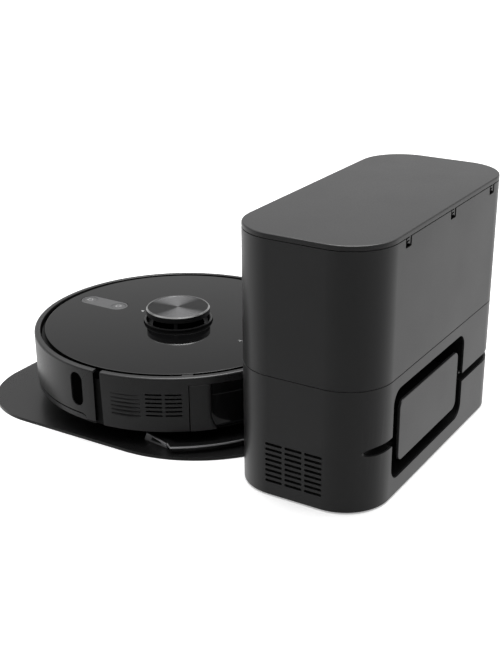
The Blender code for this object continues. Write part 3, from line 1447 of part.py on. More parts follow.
# ---------------------------------------------------------------- brushes
def make_main_brush(robot):
    steps = 6
    count = BRUSH_FINS * 5
    rings = []
    for i in range(steps + 1):
        t = -1 + 2 * i / steps
        twist = 0.9 * abs(t)
        ring = []
        for j in range(count):
            tip = j % 5 in (0, 1)
            reach = BRUSH_R if tip else BRUSH_CORE_R
            angle = 2 * math.pi * j / count + twist
            ring.append((reach * math.cos(angle), reach * math.sin(angle), t * BRUSH_HALF_L))
        rings.append(ring)
    roller = put(
        "main_brush", loft("main_brush", rings), RUBBER, robot, (0, BRUSH_Y, BRUSH_Z), ALONG_X
    )
    tip = BRUSH_HALF_L + BAY_CLEARANCE - SLIDE_GAP
    pins = cylinder("brush_pins", 0.003, -tip, tip, step=45)
    join(roller, guide(pins, robot, (0, BRUSH_Y, BRUSH_Z), ALONG_X))


def make_brush_housing(robot):
    """An arched bay over the roller, with the suction throat to the dust bin."""
    outer_x = BRUSH_HALF_L + BAY_CLEARANCE + BAY_WALL
    low = CHASSIS_FLOOR_Z + FIT_GAP
    outer_r = BAY_R + BAY_WALL
    arch = [(y, z + BRUSH_Z) for y, z in arc((BRUSH_Y, 0), outer_r, 0, 180, 14)]
    outline = [(BRUSH_Y + outer_r, low)] + arch + [(BRUSH_Y - outer_r, low)]
    bm_rings = [[(x, y, z) for y, z in outline] for x in (-outer_x, outer_x)]
    housing = put("brush_housing", loft("brush_housing", bm_rings), MATTE, robot)
    throat = block(
        "throat", (-INTAKE_W / 2 - BAY_WALL, BRUSH_Y, INTAKE_LOW_Z),
        (INTAKE_W / 2 + BAY_WALL, BIN_FRONT_Y - FIT_GAP, INTAKE_LOW_Z + INTAKE_H + 2 * BAY_WALL),
    )
    join(housing, guide(throat, robot))
    inner_x = BRUSH_HALF_L + BAY_CLEARANCE
    hollow_arch = [(y, z + BRUSH_Z) for y, z in arc((BRUSH_Y, 0), BAY_R, 0, 180, 14)]
    hollow = [(BRUSH_Y + BAY_R, 0.0)] + hollow_arch + [(BRUSH_Y - BAY_R, 0.0)]
    rings = [[(x, y, z) for y, z in hollow] for x in (-inner_x, inner_x)]
    cut(housing, guide(loft("cut_bay", rings), robot))
    passage = block(
        "cut_throat", (-INTAKE_W / 2, BRUSH_Y, INTAKE_LOW_Z + BAY_WALL),
        (INTAKE_W / 2, BIN_FRONT_Y + BAY_WALL, INTAKE_LOW_Z + BAY_WALL + INTAKE_H),
    )
    cut(housing, guide(passage, robot))

    frame_x = inner_x + GUARD_FRAME_W
    frame_y = BAY_R + GUARD_FRAME_W
    low = UNDER_Z - FIT_GAP - GUARD_T
    guard = wall_ring(
        "brush_guard", rounded_rect(2 * frame_x, 2 * frame_y, 0.006, 4),
        rounded_rect(2 * inner_x, 2 * BAY_R, 0.003, 4), low, UNDER_Z - FIT_GAP,
    )
    put("brush_guard", guard, GREY, robot, (0, BRUSH_Y, 0))


def side_brush_place():
    angle = math.radians(SIDE_BRUSH_DEG)
    return (SIDE_BRUSH_RADIUS * math.cos(angle), SIDE_BRUSH_RADIUS * math.sin(angle))


def make_side_brush(robot):
    x, y = side_brush_place()
    hub_high = UNDER_Z - SLIDE_GAP
    low = TRAY_T + 0.0015
    outline = []
    for arm in range(3):
        middle = 120 * arm + 20
        outline += [
            (SIDE_BRUSH_HUB_R * math.cos(math.radians(middle - 40)),
             SIDE_BRUSH_HUB_R * math.sin(math.radians(middle - 40))),
            (SIDE_BRUSH_L * math.cos(math.radians(middle - 5)),
             SIDE_BRUSH_L * math.sin(math.radians(middle - 5))),
            (SIDE_BRUSH_L * math.cos(math.radians(middle + 5)),
             SIDE_BRUSH_L * math.sin(math.radians(middle + 5))),
            (SIDE_BRUSH_HUB_R * math.cos(math.radians(middle + 40)),
             SIDE_BRUSH_HUB_R * math.sin(math.radians(middle + 40))),
        ]
    brush = put(
        "side_brush", prism("side_brush", outline, low, low + SIDE_BRUSH_T), BRISTLE, robot, (x, y, 0)
    )
    hub_profile = [
        (SIDE_BRUSH_HUB_R, low - 0.0008), (SIDE_BRUSH_HUB_R, hub_high),
        (0.004, hub_high), (0.004, hub_high + 0.008),
    ]
    join(brush, guide(turned("side_brush_hub", hub_profile), robot, (x, y, 0)))


# ---------------------------------------------------------------- wheels
def tyre_rings(half_width):
    """A treaded tyre's skin, as rings from its inner edge round and back."""
    count = TREAD_TEETH * 2
    inner = WHEEL_R - TYRE_T
    layout = ((inner, -half_width), (WHEEL_R, -half_width), (WHEEL_R, half_width),
              (inner, half_width))
    rings = []
    for reach, height in layout:
        ring = []
        for i in range(count):
            r = reach
            if reach > inner and i % 2:
                r = reach - TREAD_DEPTH
            angle = 2 * math.pi * i / count
            ring.append((r * math.cos(angle), r * math.sin(angle), height))
        rings.append(ring)
    return rings


def make_drive(robot, sign, side):
    axle = empty("axle_" + side, robot, (sign * WHEEL_X, 0, WHEEL_Z))
    half = TYRE_W / 2
    tyre = loft("tyre_" + side, tyre_rings(half), closed=True)
    put("tyre_" + side, tyre, RUBBER, axle, (0, 0, 0), ALONG_X)
    hub_r = (WHEEL_R - TYRE_T) * math.cos(math.pi / (TREAD_TEETH * 2)) - FIT_GAP
    hub_profile = [
        (AXLE_R + SLIDE_GAP, -half), (hub_r, -half), (hub_r, half), (hub_r - 0.006, half - 0.004),
        (AXLE_R + SLIDE_GAP, half - 0.002),
    ]
    if sign < 0:
        hub_profile = [(r, -z) for r, z in hub_profile]
    put("wheel_" + side, sweep("wheel_" + side, hub_profile, step=18), GREY, axle, (0, 0, 0), ALONG_X)

    pivot = empty("arm_pivot_" + side, robot, (0, ARM_PIVOT_Y, ARM_PIVOT_Z))
    arm_low = WHEEL_X - half - WHEEL_GAP - ARM_T
    arm_high = arm_low + ARM_T
    drop = WHEEL_Z - ARM_PIVOT_Z
    outline = [
        (ARM_REAR, -ARM_H / 2 + 0.004), (ARM_REAR, ARM_REAR),
        (-ARM_PIVOT_Y, drop + ARM_H / 2), (-ARM_PIVOT_Y - ARM_H / 2, drop),
        (-ARM_PIVOT_Y - ARM_H / 3, drop - ARM_H / 2 + 0.002),
    ]
    x_low, x_high = sorted((sign * arm_low, sign * arm_high))
    rings = [[(x, y, z) for y, z in outline] for x in (x_low, x_high)]
    arm = put("wheel_arm_" + side, loft("wheel_arm_" + side, rings), GREY, pivot)
    ears = ear_places()
    pin_reach = (sign * (ears[0] + 0.0005), sign * (ears[1] + EAR_T - 0.0005))
    pin = cylinder("arm_pin", AXLE_R, min(pin_reach), max(pin_reach), step=30)
    join(arm, guide(pin, pivot, (0, 0, 0), ALONG_X))
    axle_reach = (sign * (arm_high - 0.002), sign * (WHEEL_X + half - 0.001))
    stub = cylinder("axle_stub", AXLE_R, min(axle_reach), max(axle_reach), step=30)
    join(arm, guide(stub, pivot, (0, -ARM_PIVOT_Y, drop), ALONG_X))


def make_caster(robot):
    swivel = empty("caster_swivel", robot, (0, CASTER_Y, 0))
    wheel_y = CASTER_TRAIL
    put(
        "caster_wheel",
        sweep("caster_wheel", [
            (0.0016 + SLIDE_GAP, -CASTER_W / 2), (CASTER_R - 0.001, -CASTER_W / 2),
            (CASTER_R, 0.001 - CASTER_W / 2), (CASTER_R, CASTER_W / 2 - 0.001),
            (CASTER_R - 0.001, CASTER_W / 2), (0.0016 + SLIDE_GAP, CASTER_W / 2),
        ], step=20),
        LIGHT, swivel, (0, wheel_y, CASTER_Z), ALONG_X,
    )
    crown = CASTER_Z + CASTER_R + 0.0015
    low = UNDER_Z - 0.001
    stem_high = crown + FORK_T + 0.012
    fork = put(
        "caster_fork",
        turned("caster_fork", [
            (FORK_R, low), (FORK_R, crown + FORK_T), (0.005, crown + FORK_T), (0.005, stem_high),
        ]),
        GREY, swivel,
    )
    slot_x = CASTER_W / 2 + SLIDE_GAP
    room = CASTER_R + 0.0015
    slot_outline = [(-room, -2 * CASTER_R)] + arc((0, 0), room, 180, 0, 10) + [(room, -2 * CASTER_R)]
    slot = prism("cut_fork", slot_outline, -slot_x, slot_x)
    cut(fork, guide(slot, swivel, (0, wheel_y, CASTER_Z), (math.pi / 2, 0, math.pi / 2)))
    pin = cylinder("caster_pin", 0.0016, -FORK_R + 0.002, FORK_R - 0.002, step=45)
    join(fork, guide(pin, swivel, (0, wheel_y, CASTER_Z), ALONG_X))


# ---------------------------------------------------------------- assembly
def make_station():
    station = empty("station_frame", None, (0, STATION_Y, 0))
    make_lower_shell(station)
    make_upper_shell(station)
    make_lid(station)
    make_base_plate(station)
    make_mid_deck(station)
    make_cord_wrap(station)
    make_mains_inlet(station)
    make_suction_duct(station)
    make_inlet_seal(station)
    make_bag(station)
    make_blower(station)
    make_exhaust_filter(station)
    make_power_board(station)
    make_beacon_window(station)


def make_robot():
    robot = empty("robot_frame", None, (0, ROBOT_Y, 0))
    make_tray(robot)
    make_contacts(robot)
    make_chassis(robot)
    make_rear_shell(robot)
    make_bumper(robot)
    make_top_deck(robot)
    make_buttons(robot)
    make_turret(robot)
    make_dust_bin(robot)
    make_fan(robot)
    make_battery(robot)
    make_main_board(robot)
    make_main_brush(robot)
    make_brush_housing(robot)
    make_side_brush(robot)
    for sign, side in ((1, "right"), (-1, "left")):
        make_drive(robot, sign, side)
    make_caster(robot)


def main():
    clear_scene()
    make_station()
    make_robot()


main()
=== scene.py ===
"""Looks of the robot vacuum on its self-emptying station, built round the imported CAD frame.

Metres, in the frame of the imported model: +Z up, the robot drives out towards -Y, the station's back
faces +Y and its exhaust vents face +X. Visible shells are rebuilt here with true rounds, soft edges
and moulded detail, and every other CAD node keeps its shape under a procedural material.
"""

import json
import math

import bmesh
import bpy
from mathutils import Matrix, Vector


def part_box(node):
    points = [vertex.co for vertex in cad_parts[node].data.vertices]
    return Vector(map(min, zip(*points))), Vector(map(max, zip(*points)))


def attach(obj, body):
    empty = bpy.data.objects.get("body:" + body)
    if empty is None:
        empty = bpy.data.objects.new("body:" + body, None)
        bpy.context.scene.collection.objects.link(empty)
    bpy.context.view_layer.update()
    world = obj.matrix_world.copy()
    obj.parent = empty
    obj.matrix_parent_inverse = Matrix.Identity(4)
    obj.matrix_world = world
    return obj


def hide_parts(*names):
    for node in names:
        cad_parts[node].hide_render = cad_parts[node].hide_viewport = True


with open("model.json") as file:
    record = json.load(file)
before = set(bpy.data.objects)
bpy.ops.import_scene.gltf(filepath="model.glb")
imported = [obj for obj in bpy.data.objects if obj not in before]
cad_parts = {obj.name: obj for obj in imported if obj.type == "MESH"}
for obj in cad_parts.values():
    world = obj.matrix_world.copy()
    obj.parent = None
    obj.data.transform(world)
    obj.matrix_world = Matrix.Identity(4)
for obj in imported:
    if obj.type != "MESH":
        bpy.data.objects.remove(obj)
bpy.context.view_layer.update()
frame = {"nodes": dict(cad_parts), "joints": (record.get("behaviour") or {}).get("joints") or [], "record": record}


# ---------------------------------------------------------------- sizes read from the frame
def centre(node):
    low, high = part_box(node)
    return (low + high) / 2


def span(node):
    low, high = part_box(node)
    return high - low


STATION = centre("station_upper_shell")
STATION_W = span("station_upper_shell").x
STATION_D = span("station_upper_shell").y
SHELL_LOW_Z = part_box("station_lower_shell")[0].z
SEAM_LOW_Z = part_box("station_lower_shell")[1].z
SEAM_HIGH_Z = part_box("station_upper_shell")[0].z
SHELL_TOP_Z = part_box("station_upper_shell")[1].z
LID_LOW_Z = SHELL_TOP_Z + 0.0006
STATION_TOP_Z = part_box("station_lid")[1].z
BACK_Y = STATION.y + STATION_D / 2
FRONT_Y = STATION.y - STATION_D / 2
WRAP = centre("cord_wrap_cover")
COVER_W = span("cord_wrap_cover").x
COVER_H = span("cord_wrap_cover").z
ROBOT = centre("top_cover")
RIM_TOP_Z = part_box("bumper")[1].z
BUMPER_LOW_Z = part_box("bumper")[0].z
SKIRT_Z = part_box("rear_shell")[0].z
GLASS_TOP_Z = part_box("top_cover")[1].z
GLASS_R = span("top_cover").y / 2
TURRET_TOP_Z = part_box("lidar_cap_disc")[1].z
TRAY_LOW, TRAY_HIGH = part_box("floor_tray")

# Station details
CORNER_R = 0.052
WALL = 0.0025
EDGE = 0.0005
FIT_GAP = 0.0003
PORT_W = 0.052
PORT_H = 0.026
PORT_R = 0.006
PORT_Z = 0.043
SEAL_LIP = 0.0040
SEAL_FOLD = 0.0011
SEAL_FOLDS = 2
SEAL_STEPS = 12
VENT_COLUMNS = 3
VENT_ROWS = 8
VENT_W = 0.0200
VENT_H = 0.0030
VENT_PITCH_Y = 0.0232
VENT_PITCH_Z = 0.0061
VENT_LOW_Z = 0.0164
VENT_Y = STATION.y - 0.0010
WRAP_MARGIN_X = 0.016
WRAP_MARGIN_Z = 0.01675
WRAP_R = 0.016
WRAP_DEPTH = 0.032
COVER_R = 0.009
COVER_T = 0.003
CORE_INSET = 0.011
SLOT_Z = 0.0678
SLOT_H = 0.0104
SLOT_DEPTH = 0.0145
HOOK_XS = (-0.114, -0.0055, 0.104)
NOTCH_W = 0.013
NOTCH_H = 0.0098
HOOK_SHAPE = ((-0.0042, 0.001), (-0.0042, -0.0078), (-0.0020, -0.0078), (-0.0020, -0.0066),
              (0.0016, -0.0066), (0.0016, -0.0048), (-0.0020, -0.0048), (-0.0020, -0.0034),
              (0.0036, -0.0034), (0.0036, -0.0014), (-0.0020, -0.0014), (-0.0020, 0.001))
HOOK_NEAR = 0.0021
HOOK_FAR = 0.0004
CLIP_L = 0.0048
CLIP_H = 0.0028
CLIP_D = 0.0038
CLIP_RISE = 0.0016
TUB_SKIN = 0.002
TONGUE_HALF_W = 0.060
TONGUE_T = 0.0024
LID_EDGE = 0.0016

# Robot details
ROBOT_R = 0.175
RIM_W = 0.007
RIM_ROUND = 0.0026
RIM_T = 0.0028
SIDE_WALL = 0.0025
BUMPER_END = 2.0
SHELL_START = 5.0
STEP_Z = 0.0315
STEP_D = 0.0006
STEP_GROOVE_D = 0.0026
STEP_GROOVE_H = 0.0019
STEP_END = -2.2
STEP_ROUND = 2.4
SENSOR_DEG = -6.45
SENSOR_W = 0.017
SENSOR_LOW_Z = 0.040
SENSOR_HIGH_Z = 0.080
SIDE_VENT_DEGS = (25.7, 33.0)
SIDE_VENT_SWEEP = 6.4
SIDE_VENT_ROWS = 6
SIDE_VENT_LOW_Z = 0.0410
SIDE_VENT_PITCH = 0.0052
SIDE_VENT_H = 0.0020
GRIP_START = 9.0
GRIP_END = 20.5
GRIP_LOW_Z = 0.0400
GRIP_PITCH = 0.0051
GRIP_COUNT = 6
GRIP_H = 0.0010
GRIP_D = 0.0009
BIN_SEAM = 38.6
WING_START = 38.95
WING_END = 47.0
WING_FLARE = 2.2
WING_T = 0.0030
BAY_TOP_Z = 0.0790
BIN_R = 0.169
BIN_FRONT = 0.082
BIN_HALF_W = 0.11805
BIN_SPLIT_Z = 0.0635
BIN_TOP_Z = 0.0785
BIN_WALL = 0.0020
TAB_IN_R = 0.1628
TAB_OUT_R = 0.1676
TAB_START = 36.4
TAB_END = 40.8
PANEL_TOP_Z = GLASS_TOP_Z - 0.0001
GLASS_T = 0.0028
GLASS_EDGE = 0.0009
PILL_L = 0.068
PILL_W = 0.026
PILL_Y = -0.1155
BUTTON_R = 0.0088
BUTTON_SPACING = 0.0453
TURRET_R = 0.039
TURRET_HOLE_R = 0.0425
CAP_SKIRT_Z = 0.0982
CAP_DISC_Z = 0.1044
GUARD_R = 0.0420
GUARD_Z = 0.0908
POST_DEG = 30.6
CURB_Z = 0.012
PLATFORM_Z = 0.008
TRAY_T = 0.0035
CURB_HIGHLIGHT_H = 0.0016
CURB_PROUD = 0.0002
CURB_FACE_PROUD = 0.0017
HAIRLINE = 0.00008
COVER_MARKS = (
    ((-0.0035, -0.0545), (0.0005, -0.0545), (-0.0015, -0.0585)),
    ((0.0165, 0.0985), (0.0172, 0.0985), (0.0172, 0.1050), (0.0165, 0.1050)),
    ((0.0172, 0.1014), (0.0200, 0.1014), (0.0200, 0.1020), (0.0172, 0.1020)),
)
POWER_STEM = ((-0.00035, 0.0006), (0.00035, 0.0006), (0.00035, 0.0042), (-0.00035, 0.0042))
HOME_SHAPES = (
    ((-0.0042, 0.0002), (0.0, 0.0040), (0.0042, 0.0002), (0.0037, -0.0003), (0.0, 0.0031),
     (-0.0037, -0.0003)),
    ((-0.0028, -0.0008), (-0.0028, -0.0038), (0.0028, -0.0038), (0.0028, -0.0008),
     (0.0021, -0.0008), (0.0021, -0.0031), (-0.0021, -0.0031), (-0.0021, -0.0008)),
)

# Docking platform outlines: front corner, knee, radius, angle of the knee
PLATFORM_FOOT = (0.1470, 0.054, 0.1520, 0.090, 0.1880, 32.0)
PLATFORM_RIM = (0.1455, 0.057, 0.1570, 0.091, 0.1915, 31.5)
PLATFORM_HIGHLIGHT = (0.1455, 0.057, 0.1558, 0.0917, 0.1902, 31.5)
PLATFORM_DISH = (0.1370, 0.040, 0.1480, 0.094, 0.1815, 33.0)

# Looks
GLINT_DEG = 222.0
FLOOR_GLOW = 0.35
TONE_DRIFT = 0.10

# Camera and light
CAMERA_AZIMUTH = 120.62
CAMERA_ELEVATION = 23.73
CAMERA_PLACE = (1.0819, 0.7092, 0.6216)
CAMERA_LENS = 62.43
CAMERA_SHIFT = (-0.0420, 0.0351)
BRIGHT_SIDE = (-0.861, -0.509, 0.0)
WORLD_STRENGTH = 2.0
HEIGHT_LEVELS = ((-0.30, 0.50), (0.0, 0.45), (0.24, 0.34), (0.42, 0.17), (0.50, 0.17), (0.66, 0.90),
                 (1.0, 0.90))
SIDE_LEVELS = ((-0.9, 0.22), (-0.3, 0.40), (0.35, 0.90), (0.95, 1.0))
LIGHTS = (
    ("softbox_top", (-0.2, 0.1, 2.0), (0, 0.05, 0.1), 1.4, 1.4, 40.0),
)


# ---------------------------------------------------------------- outlines and meshes
def arc(cx, cy, radius, start, end, steps):
    """Points on an arc, both ends included, angles in degrees."""
    points = []
    for i in range(steps + 1):
        angle = math.radians(start + (end - start) * i / steps)
        points.append((cx + radius * math.cos(angle), cy + radius * math.sin(angle)))
    return points


def rounded_rect(width, depth, radius, steps, cx=0.0, cy=0.0):
    x = width / 2 - radius
    y = depth / 2 - radius
    outline = []
    for sx, sy, start in ((x, y, 0), (-x, y, 90), (-x, -y, 180), (x, -y, 270)):
        outline += arc(cx + sx, cy + sy, radius, start, start + 90, steps)
    return outline


def circle(x, y, radius, sides):
    return arc(x, y, radius, 0, 360 - 360 / sides, sides - 1)


def stadium(length, width, steps, cx, cy):
    """A slot shape with its long side along the second axis."""
    radius = width / 2
    half = length / 2 - radius
    return arc(cx, cy + half, radius, 0, 180, steps) + arc(cx, cy - half, radius, 180, 360, steps)


def at_x(outline, x):
    return [(x, y, z) for y, z in outline]


def at_y(outline, y):
    return [(x, y, z) for x, z in outline]


def at_z(outline, z):
    return [(x, y, z) for x, y in outline]


def add_loft(bm, rings, tube=False):
    """Skin rings of points in order. A tube joins its last ring to its first; else both are capped."""
    loops = [[bm.verts.new(point) for point in ring] for ring in rings]
    for i in range(len(loops) if tube else len(loops) - 1):
        here = loops[i]
        there = loops[(i + 1) % len(loops)]
        for j in range(len(here)):
            k = (j + 1) % len(here)
            bm.faces.new((here[j], here[k], there[k], there[j]))
    if not tube:
        bm.faces.new(list(reversed(loops[0])))
        bm.faces.new(loops[-1])


def loft(rings, tube=False):
    bm = bmesh.new()
    add_loft(bm, rings, tube)
    return bm


def add_prism(bm, outline, low, high):
    add_loft(bm, [at_z(outline, low), at_z(outline, high)])


def prisms(outlines, low, high):
    """Upright prisms over plan outlines."""
    bm = bmesh.new()
    for outline in outlines:
        add_prism(bm, outline, low, high)
    return bm


def slabs(outlines, low_y, high_y):
    """Prisms along Y over outlines of (x, z)."""
    bm = bmesh.new()
    for outline in outlines:
        add_loft(bm, [at_y(outline, low_y), at_y(outline, high_y)])
    return bm


def stack(levels):
    """A loft through level outlines, given with their heights."""
    return loft([at_z(outline, z) for outline, z in levels])


def stack_y(levels, tube=False):
    """A loft along Y through outlines of (x, z), given with their places on Y."""
    return loft([at_y(outline, y) for outline, y in levels], tube)


def turned(x, y, levels, sides):
    """A loft through level circles, given as (radius, z)."""
    return stack([(circle(x, y, radius, sides), z) for radius, z in levels])


def shifted(shape, x, y):
    return [(x + dx, y + dy) for dx, dy in shape]


def node_outline(node, grow, radius, steps, upright=True):
    """A node's box from behind, or from above, as a rounded outline with its sides grown."""
    size = span(node)
    middle = centre(node)
    if upright:
        return rounded_rect(size.x + grow, size.z + grow, radius, steps, middle.x, middle.z)
    return rounded_rect(size.x + grow, size.y + grow, radius, steps, middle.x, middle.y)


def box_bm(low, high):
    outline = [(low[0], low[1]), (high[0], low[1]), (high[0], high[1]), (low[0], high[1])]
    return prisms([outline], low[2], high[2])


def sweep(section, start, end, step, cx=None, cy=None):
    """Turn an outline of (radius, height), or a function of the angle, about an upright axis."""
    cx = ROBOT.x if cx is None else cx
    cy = ROBOT.y if cy is None else cy
    full = abs(end - start - 360) < 1e-6
    count = max(2, round((end - start) / step))
    rings = []
    for i in range(count if full else count + 1):
        degrees = start + (end - start) * i / count
        angle = math.radians(degrees)
        outline = section(degrees) if callable(section) else section
        rings.append([(cx + r * math.cos(angle), cy + r * math.sin(angle), z) for r, z in outline])
    return loft(rings, tube=full)


def polar_at(x, y, radius, degrees):
    angle = math.radians(degrees)
    return (x + radius * math.cos(angle), y + radius * math.sin(angle))


def polar(radius, degrees, *z):
    """A point about the robot's axis, with its height if one is given."""
    return (*polar_at(ROBOT.x, ROBOT.y, radius, degrees), *z)


def round_robot(radius, start, end, steps):
    return arc(ROBOT.x, ROBOT.y, radius, start, end, steps)


def band(inner, outer, start, end, steps):
    """Plan outline of a stretch of a ring round the robot's centre."""
    return round_robot(outer, start, end, steps) + round_robot(inner, end, start, steps)


def make_object(name, bm):
    bmesh.ops.recalc_face_normals(bm, faces=bm.faces)
    mesh = bpy.data.meshes.new(name)
    bm.to_mesh(mesh)
    bm.free()
    obj = bpy.data.objects.new(name, mesh)
    bpy.context.scene.collection.objects.link(obj)
    return obj


def settle(obj):
    """Apply the object's modifiers to its mesh."""
    graph = bpy.context.evaluated_depsgraph_get()
    mesh = bpy.data.meshes.new_from_object(obj.evaluated_get(graph), depsgraph=graph)
    old = obj.data
    obj.modifiers.clear()
    obj.data = mesh
    bpy.data.meshes.remove(old)


def boolean(obj, bm, operation="DIFFERENCE"):
    other = make_object("tool", bm)
    modifier = obj.modifiers.new("Boolean", "BOOLEAN")
    modifier.operation = operation
    modifier.solver = "EXACT"
    modifier.object = other
    settle(obj)
    bpy.data.objects.remove(other, do_unlink=True)


def finish_mesh(obj, bevel, angle, segments):
    """Soften the edges sharper than an angle and let the broad faces rule the shading."""
    if bevel:
        modifier = obj.modifiers.new("Bevel", "BEVEL")
        modifier.width = bevel
        modifier.segments = segments
        modifier.limit_method = "ANGLE"
        modifier.angle_limit = math.radians(angle)
        modifier.use_clamp_overlap = True
    settle(obj)
    obj.data.shade_smooth()
    obj.data.set_sharp_from_angle(angle=math.radians(40))
    weighted = obj.modifiers.new("Normals", "WEIGHTED_NORMAL")
    weighted.keep_sharp = True
    weighted.weight = 80
    settle(obj)


def dress(obj, body, slot, *nodes, bevel=0.0, angle=50.0, segments=3, look=None):
    """Finish a shape, then give it its material, its body and the CAD nodes it stands for."""
    finish_mesh(obj, bevel, angle, segments)
    obj.data.materials.clear()
    obj.data.materials.append(look or LOOKS[slot])
    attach(obj, body)
    if nodes:
        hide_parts(*nodes)


def piece(name, bm, body, slot, *nodes, **finish):
    dress(make_object(name, bm), body, slot, *nodes, **finish)


# ---------------------------------------------------------------- procedural materials
class Shader:
    """A Principled material with small helpers for the nodes that feed it."""

    def __init__(self, name, metallic=0.0, specular=0.5):
        self.material = bpy.data.materials.new(name)
        self.material.use_nodes = True
        self.nodes = self.material.node_tree.nodes
        self.links = self.material.node_tree.links
        self.bsdf = self.nodes["Principled BSDF"]
        self.bsdf.inputs["Metallic"].default_value = metallic
        self.bsdf.inputs["Specular IOR Level"].default_value = specular
        self.where = self.nodes.new("ShaderNodeTexCoord").outputs["Object"]

    def make(self, kind, **inputs):
        """A node with its inputs set or linked; their names have _ for a space."""
        node = self.nodes.new("ShaderNode" + kind)
        for name, value in inputs.items():
            socket = node.inputs[name.replace("_", " ")]
            if isinstance(value, bpy.types.NodeSocket):
                self.links.new(value, socket)
            else:
                socket.default_value = value
        return node

    def stretched(self, stretch):
        if not stretch:
            return self.where
        return self.make("Mapping", Scale=stretch, Vector=self.where).outputs["Vector"]

    def noise(self, scale, detail=2.0, rough=0.5, stretch=None):
        node = self.make("TexNoise", Scale=scale, Detail=detail, Roughness=rough,
                         Vector=self.stretched(stretch))
        return node.outputs["Fac"]

    def cells(self, scale, feature="F1", stretch=None):
        node = self.make("TexVoronoi", Scale=scale, Vector=self.stretched(stretch))
        node.feature = feature
        return node.outputs["Distance"]

    def waves(self, scale, kind="BANDS", direction="X", distortion=0.0):
        node = self.make("TexWave", Scale=scale, Distortion=distortion, Vector=self.where)
        node.wave_type = kind
        if kind == "BANDS":
            node.bands_direction = direction
        else:
            node.rings_direction = direction
        return node.outputs["Fac"]

    def fan(self, degrees):
        """Two opposite wedges about the Z axis, from 1 on their middles to -1 between them."""
        around = self.make("Mapping", Rotation=(0, 0, math.radians(-degrees)), Vector=self.where)
        gradient = self.make("TexGradient", Vector=around.outputs["Vector"])
        gradient.gradient_type = "RADIAL"
        doubled = self.nodes.new("ShaderNodeMath")
        doubled.operation = "MULTIPLY"
        doubled.inputs[1].default_value = 4 * math.pi
        self.links.new(gradient.outputs["Fac"], doubled.inputs[0])
        wave = self.nodes.new("ShaderNodeMath")
        wave.operation = "COSINE"
        self.links.new(doubled.outputs["Value"], wave.inputs[0])
        return wave.outputs["Value"]

    def spread(self, value, low, high, start=0.3, end=0.7):
        node = self.make("MapRange", From_Min=start, From_Max=end, To_Min=low, To_Max=high, Value=value)
        return node.outputs["Result"]

    def blend(self, value, low, high, start=0.3, end=0.7):
        node = self.nodes.new("ShaderNodeValToRGB")
        node.color_ramp.elements[0].position = start
        node.color_ramp.elements[0].color = (*low, 1)
        node.color_ramp.elements[1].position = end
        node.color_ramp.elements[1].color = (*high, 1)
        self.links.new(value, node.inputs["Fac"])
        return node.outputs["Color"]

    def add(self, a, b):
        node = self.nodes.new("ShaderNodeMath")
        node.operation = "ADD"
        self.links.new(a, node.inputs[0])
        self.links.new(b, node.inputs[1])
        return node.outputs["Value"]

    def follow(self, pattern, colours, rough, depth, strength=1.0, relief=None):
        """Let colour, polish and relief follow one pattern; the relief may have its own."""
        self.colour(self.blend(pattern, *colours))
        self.roughness(self.spread(pattern, *rough))
        self.bump(relief or pattern, depth, strength)
        return self.material

    def colour(self, output):
        self.links.new(output, self.bsdf.inputs["Base Color"])

    def roughness(self, output):
        self.links.new(output, self.bsdf.inputs["Roughness"])

    def bump(self, height, distance, strength=1.0):
        node = self.make("Bump", Strength=strength, Distance=distance, Height=height)
        self.links.new(node.outputs["Normal"], self.bsdf.inputs["Normal"])


def grey(value, tint=0.0):
    return (value, value, value * (1 + tint))


def moulded(name, tone, rough, grain=1700.0, depth=0.00001, specular=0.5):
    """Moulded plastic: fine spark-eroded grain, and slow drifts of tone and polish."""
    shader = Shader(name, specular=specular)
    dark = grey(tone * (1 - TONE_DRIFT), 0.03)
    light = grey(tone * (1 + TONE_DRIFT), 0.02)
    shader.colour(shader.blend(shader.noise(9.0, 3.0), dark, light))
    polish = shader.add(shader.noise(grain / 2, 1.0), shader.noise(14.0, 2.0))
    shader.roughness(shader.spread(polish, rough * 0.90, rough * 1.10, 0.7, 1.3))
    shader.bump(shader.noise(grain, 3.0, 0.6), depth)
    return shader.material


def polished(name, tone, rough, specular=0.5):
    """High-gloss plastic: a hint of orange peel, and faint haze where hands have wiped it."""
    shader = Shader(name, specular=specular)
    slow = shader.noise(7.0, 2.0)
    shader.colour(shader.blend(slow, grey(tone * 0.85, 0.05), grey(tone * 1.15, 0.05)))
    haze = shader.noise(24.0, 5.0, 0.65)
    shader.roughness(shader.spread(haze, rough * 0.8, rough * 1.5, 0.35, 0.75))
    shader.bump(shader.noise(70.0, 2.0), 0.000012)
    return shader.material


def spun_metal():
    """A lathe-turned disc: fine rings, with its fan-shaped glints painted in the tone."""
    shader = Shader("spun_metal", metallic=1.0)
    rings = shader.waves(900.0, "RINGS", "Z", 0.4)
    glint = shader.spread(shader.fan(GLINT_DEG), 0.0, 1.0, -1.0, 1.0)
    shader.colour(shader.blend(glint, grey(0.014, 0.02), grey(0.36, 0.02), 0.28, 1.0))
    shader.roughness(shader.spread(rings, 0.22, 0.34, 0.0, 1.0))
    shader.bump(rings, 0.000006, 0.6)
    shader.bsdf.inputs["Anisotropic"].default_value = 0.85
    tangent = shader.nodes.new("ShaderNodeTangent")
    tangent.direction_type = "RADIAL"
    tangent.axis = "Z"
    shader.links.new(tangent.outputs["Tangent"], shader.bsdf.inputs["Tangent"])
    return shader.material


def brushed_steel(name, tone=0.55, rough=0.28):
    shader = Shader(name, metallic=1.0)
    lines = shader.noise(160.0, 3.0, 0.6, (1.0, 14.0, 1.0))
    colours = (grey(tone * 0.88), grey(tone))
    return shader.follow(lines, colours, (rough * 0.8, rough * 1.3), 0.00001, 0.5)


